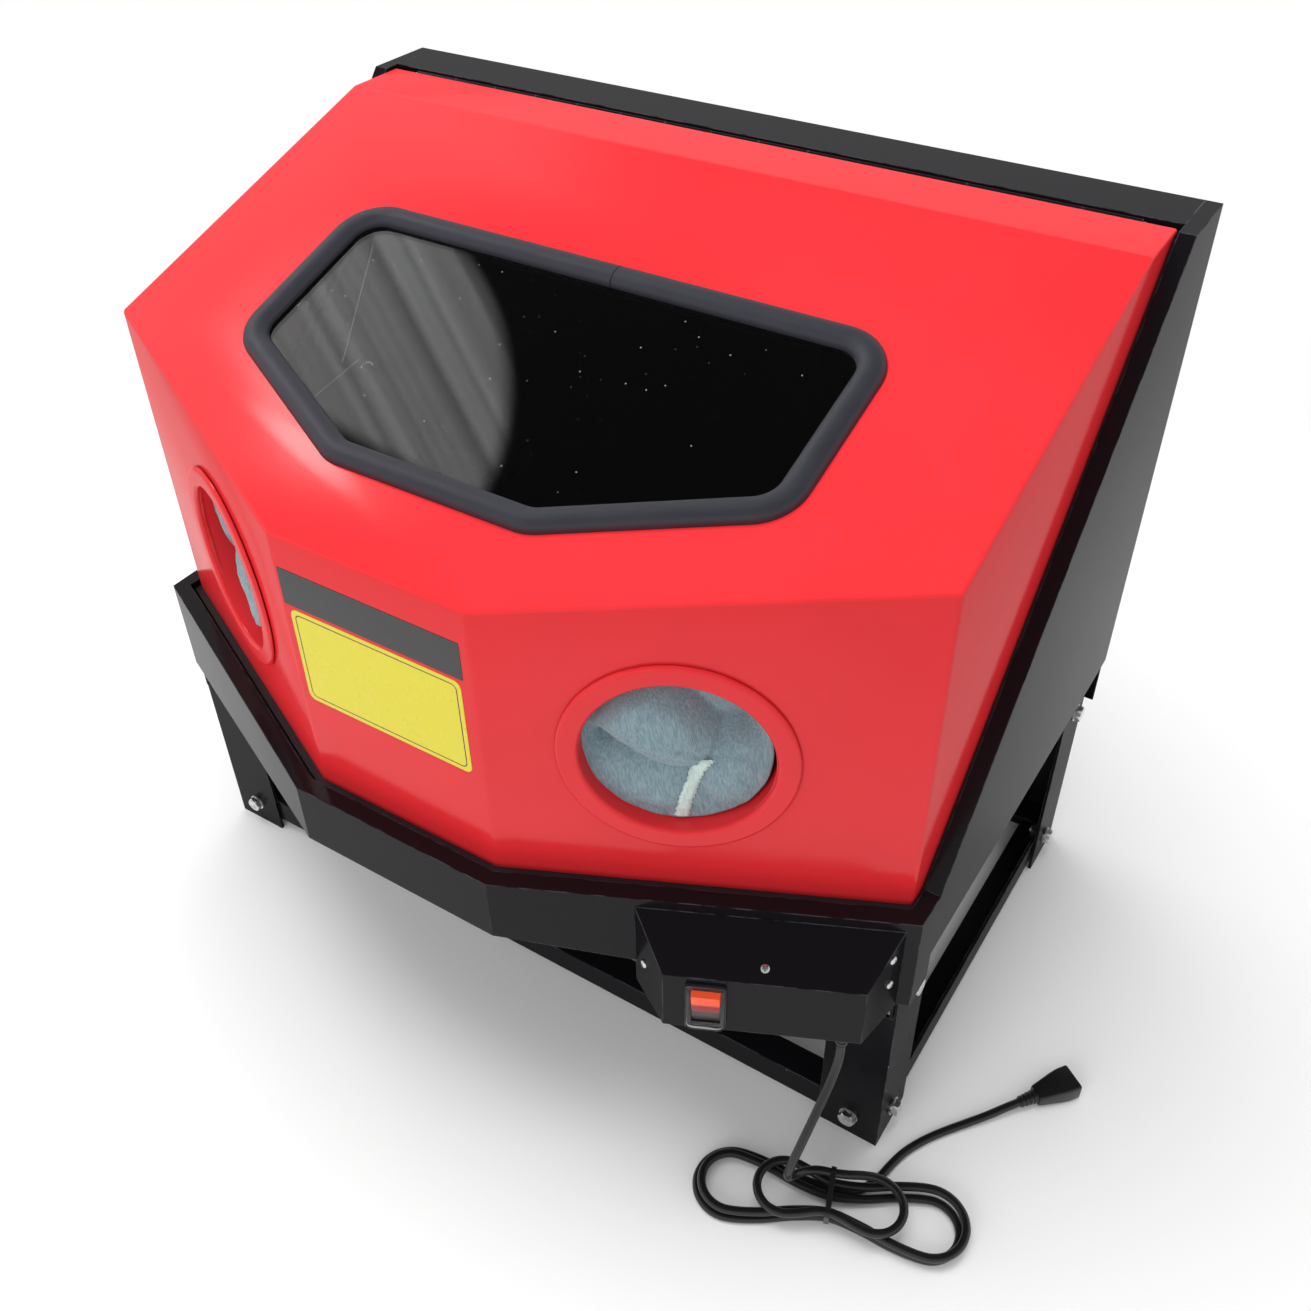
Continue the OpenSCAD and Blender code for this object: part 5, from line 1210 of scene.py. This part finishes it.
for y in (-SLOT_Y, SLOT_Y):
    work = bmesh.new()
    plate(work, (slot_from, y - SLOT_HALF, SLOT_LOW), (slot_to, y + SLOT_HALF, SLOT_HIGH), plug_frame)
    cuts.append(as_object("slot_cut", work, cord_rubber))
work = bmesh.new()
earth = plug_frame @ Matrix.Translation((0, 0, EARTH_Z)) @ turn_x
lathe(work, [(EARTH_R, slot_from), (EARTH_R, slot_to)], EARTH_SIDES, earth)
cuts.append(as_object("slot_cut", work, cord_rubber))
cut_by(plug, *cuts)
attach(plug, "tank")
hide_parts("plug")

# Work shelf, pump, spout and drain
# Inside are a perforated shelf on two ledges, a small plastic pump with its hose and cable,
# a bent spout and a brass drain plug. They are seen through the window and when the hood is open.
PUMP_BLACK, PUMP_GREY = (0.020, 0.021, 0.026, 1), (0.035, 0.036, 0.042, 1)
BRASS, BRASS_DULL = (0.62, 0.40, 0.14, 1), (0.42, 0.26, 0.09, 1)
dress(leg_paint, "work_shelf", "shelf_bracket_left", "shelf_bracket_right", "spout_bracket")
pump_plastic = moulded("pump_plastic", PUMP_BLACK, PUMP_GREY, rough=(0.4, 0.55), pebble=900)
dress(pump_plastic, "pump_screen", "pump_body")
dress(cord_rubber, "pump_hose", "pump_cable", "cable_gland")
dress(zinc, "spout", "drain_bung")
brass = plated("brass", BRASS, BRASS_DULL, rough=(0.25, 0.45))
dress(brass, "drain_plug")

# Stage
# A pale floor under a soft sky and three soft lamps, with the camera where the photograph was taken from.
# The camera sees the sky as plain white, and the floor fades into it and keeps the shadow.
CAMERA_AT = (0.5386, -0.7323, 1.0223)
CAMERA_AZIMUTH, CAMERA_HEIGHT, CAMERA_ROLL = 33.241, 40.040, -1.069
LENS, SENSOR = 37.526, 36.0
FLOOR_SIZE = 16.0
FLOOR_COLOUR = (0.94, 0.94, 0.94, 1)
FLOOR_FULL, FLOOR_GONE = 0.75, 1.55
FLOOR_ROUGH, FLOOR_MIRROR = 0.9, 0.1
SKY_LIGHT, SKY_MIRRORED = 0.60, 0.85
# Mirrors and glass show a white sky too, but dark overhead, with a pale opening at the left and a bright
# spot beside it. The opening is crossed by streaks and cut off below by a sill.
CEILING_FROM, CEILING_FULL, CEILING_DARK = 0.60, 0.68, 0.03
OPENING_WAY, OPENING_EDGE, OPENING_FULL, OPENING_LIGHT = (-0.673, 0.201, 0.712), 0.9880, 0.9906, 0.98
SILL_LOW, SILL_HIGH = 0.184, 0.200
STREAK_ACROSS, STREAK_SCALE, STREAK_LIGHT = (0.574, 0.799, 0.181), 72.0, (0.15, 1.80)
GLARE_WAY, GLARE_EDGE, GLARE_FULL, GLARE_LIGHT = (-0.705, 0.090, 0.703), 0.9928, 0.9978, 13.0
# Soft square lamps: place, size and power
LAMPS = (
    ("lamp_above", (-0.3, 0.1, 2.6), 2.0, 50), ("lamp_front", (0.3, -2.8, 1.4), 1.8, 24),
    ("lamp_left", (-2.4, -0.6, 1.4), 1.6, 8),
)

camera = stand("camera", bpy.data.cameras.new("camera"))
camera.data.lens, camera.data.sensor_width = LENS, SENSOR
azimuth, height = math.radians(CAMERA_AZIMUTH), math.radians(CAMERA_HEIGHT)
level = math.cos(height)
look = Vector((-math.sin(azimuth) * level, math.cos(azimuth) * level, -math.sin(height)))
camera.matrix_world = (
    Matrix.Translation(CAMERA_AT) @ look.to_track_quat("-Z", "Y").to_matrix().to_4x4()
    @ Matrix.Rotation(math.radians(CAMERA_ROLL), 4, "Z")
)
bpy.context.scene.camera = camera

work = bmesh.new()
bmesh.ops.create_grid(work, x_segments=1, y_segments=1, size=FLOOR_SIZE / 2)
floor_pale, tree, shader = new_material("floor_pale")
shader.inputs["Base Color"].default_value = FLOOR_COLOUR
place = put(tree, "TexCoord").outputs["Object"]
away = put(tree, "VectorMath", {0: place}, operation="LENGTH").outputs["Value"]
fade = ramp(tree, away, (FLOOR_FULL, FLOOR_GONE), (1.0, 0.0), soft=True)
tree.links.new(fade, shader.inputs["Alpha"])
shader.inputs["Roughness"].default_value = FLOOR_ROUGH
shader.inputs["Specular IOR Level"].default_value = FLOOR_MIRROR
floor = as_object("floor", work, floor_pale)

world = bpy.data.worlds.new("surround")
bpy.context.scene.world = world
world.use_nodes = True
tree = world.node_tree
sky = tree.nodes["Background"]
path = put(tree, "LightPath").outputs
mirrored = maths(tree, "MAXIMUM", path["Is Glossy Ray"], path["Is Transmission Ray"])
way = put(tree, "TexCoord").outputs["Generated"]
parts = put(tree, "SeparateXYZ", {"Vector": way}).outputs
surround = ramp(tree, parts["Z"], (CEILING_FROM, CEILING_FULL), (SKY_MIRRORED, CEILING_DARK), soft=True)
near_opening, near_glare = dot(tree, way, OPENING_WAY), dot(tree, way, GLARE_WAY)
opening = ramp(tree, near_opening, (OPENING_EDGE, OPENING_FULL), (0.0, OPENING_LIGHT), soft=True)
glare = ramp(tree, near_glare, (GLARE_EDGE, GLARE_FULL), (0.0, GLARE_LIGHT), soft=True)
streaks = put(tree, "TexNoise", {
    "W": dot(tree, way, STREAK_ACROSS), "Scale": STREAK_SCALE, "Detail": 1.0,
}, noise_dimensions="1D").outputs[0]
sill = ramp(tree, parts["Y"], (SILL_LOW, SILL_HIGH), soft=True)
for shade in (ramp(tree, streaks, to=STREAK_LIGHT), sill):
    opening = maths(tree, "MULTIPLY", opening, shade)
for patch in (opening, glare):
    surround = maths(tree, "ADD", surround, patch)
lit = ramp(tree, path["Is Camera Ray"], to=(SKY_LIGHT, 1.0))
strength = put(tree, "Mix", {0: mirrored, 2: lit, 3: surround})
tree.links.new(strength.outputs[0], sky.inputs["Strength"])
sky.inputs["Color"].default_value = (1, 1, 1, 1)

middle = (cad_box[0] + cad_box[1]) / 2
for name, place, size, power in LAMPS:
    light = bpy.data.lights.new(name, "AREA")
    light.shape, light.size, light.energy = "SQUARE", size, power
    lamp = stand(name, light)
    lamp.location = place
    lamp.visible_glossy = lamp.visible_transmission = False
    lamp.rotation_mode = "QUATERNION"
    lamp.rotation_quaternion = (middle - Vector(place)).to_track_quat("-Z", "Y")
bpy.context.scene.view_settings.view_transform = "Standard"
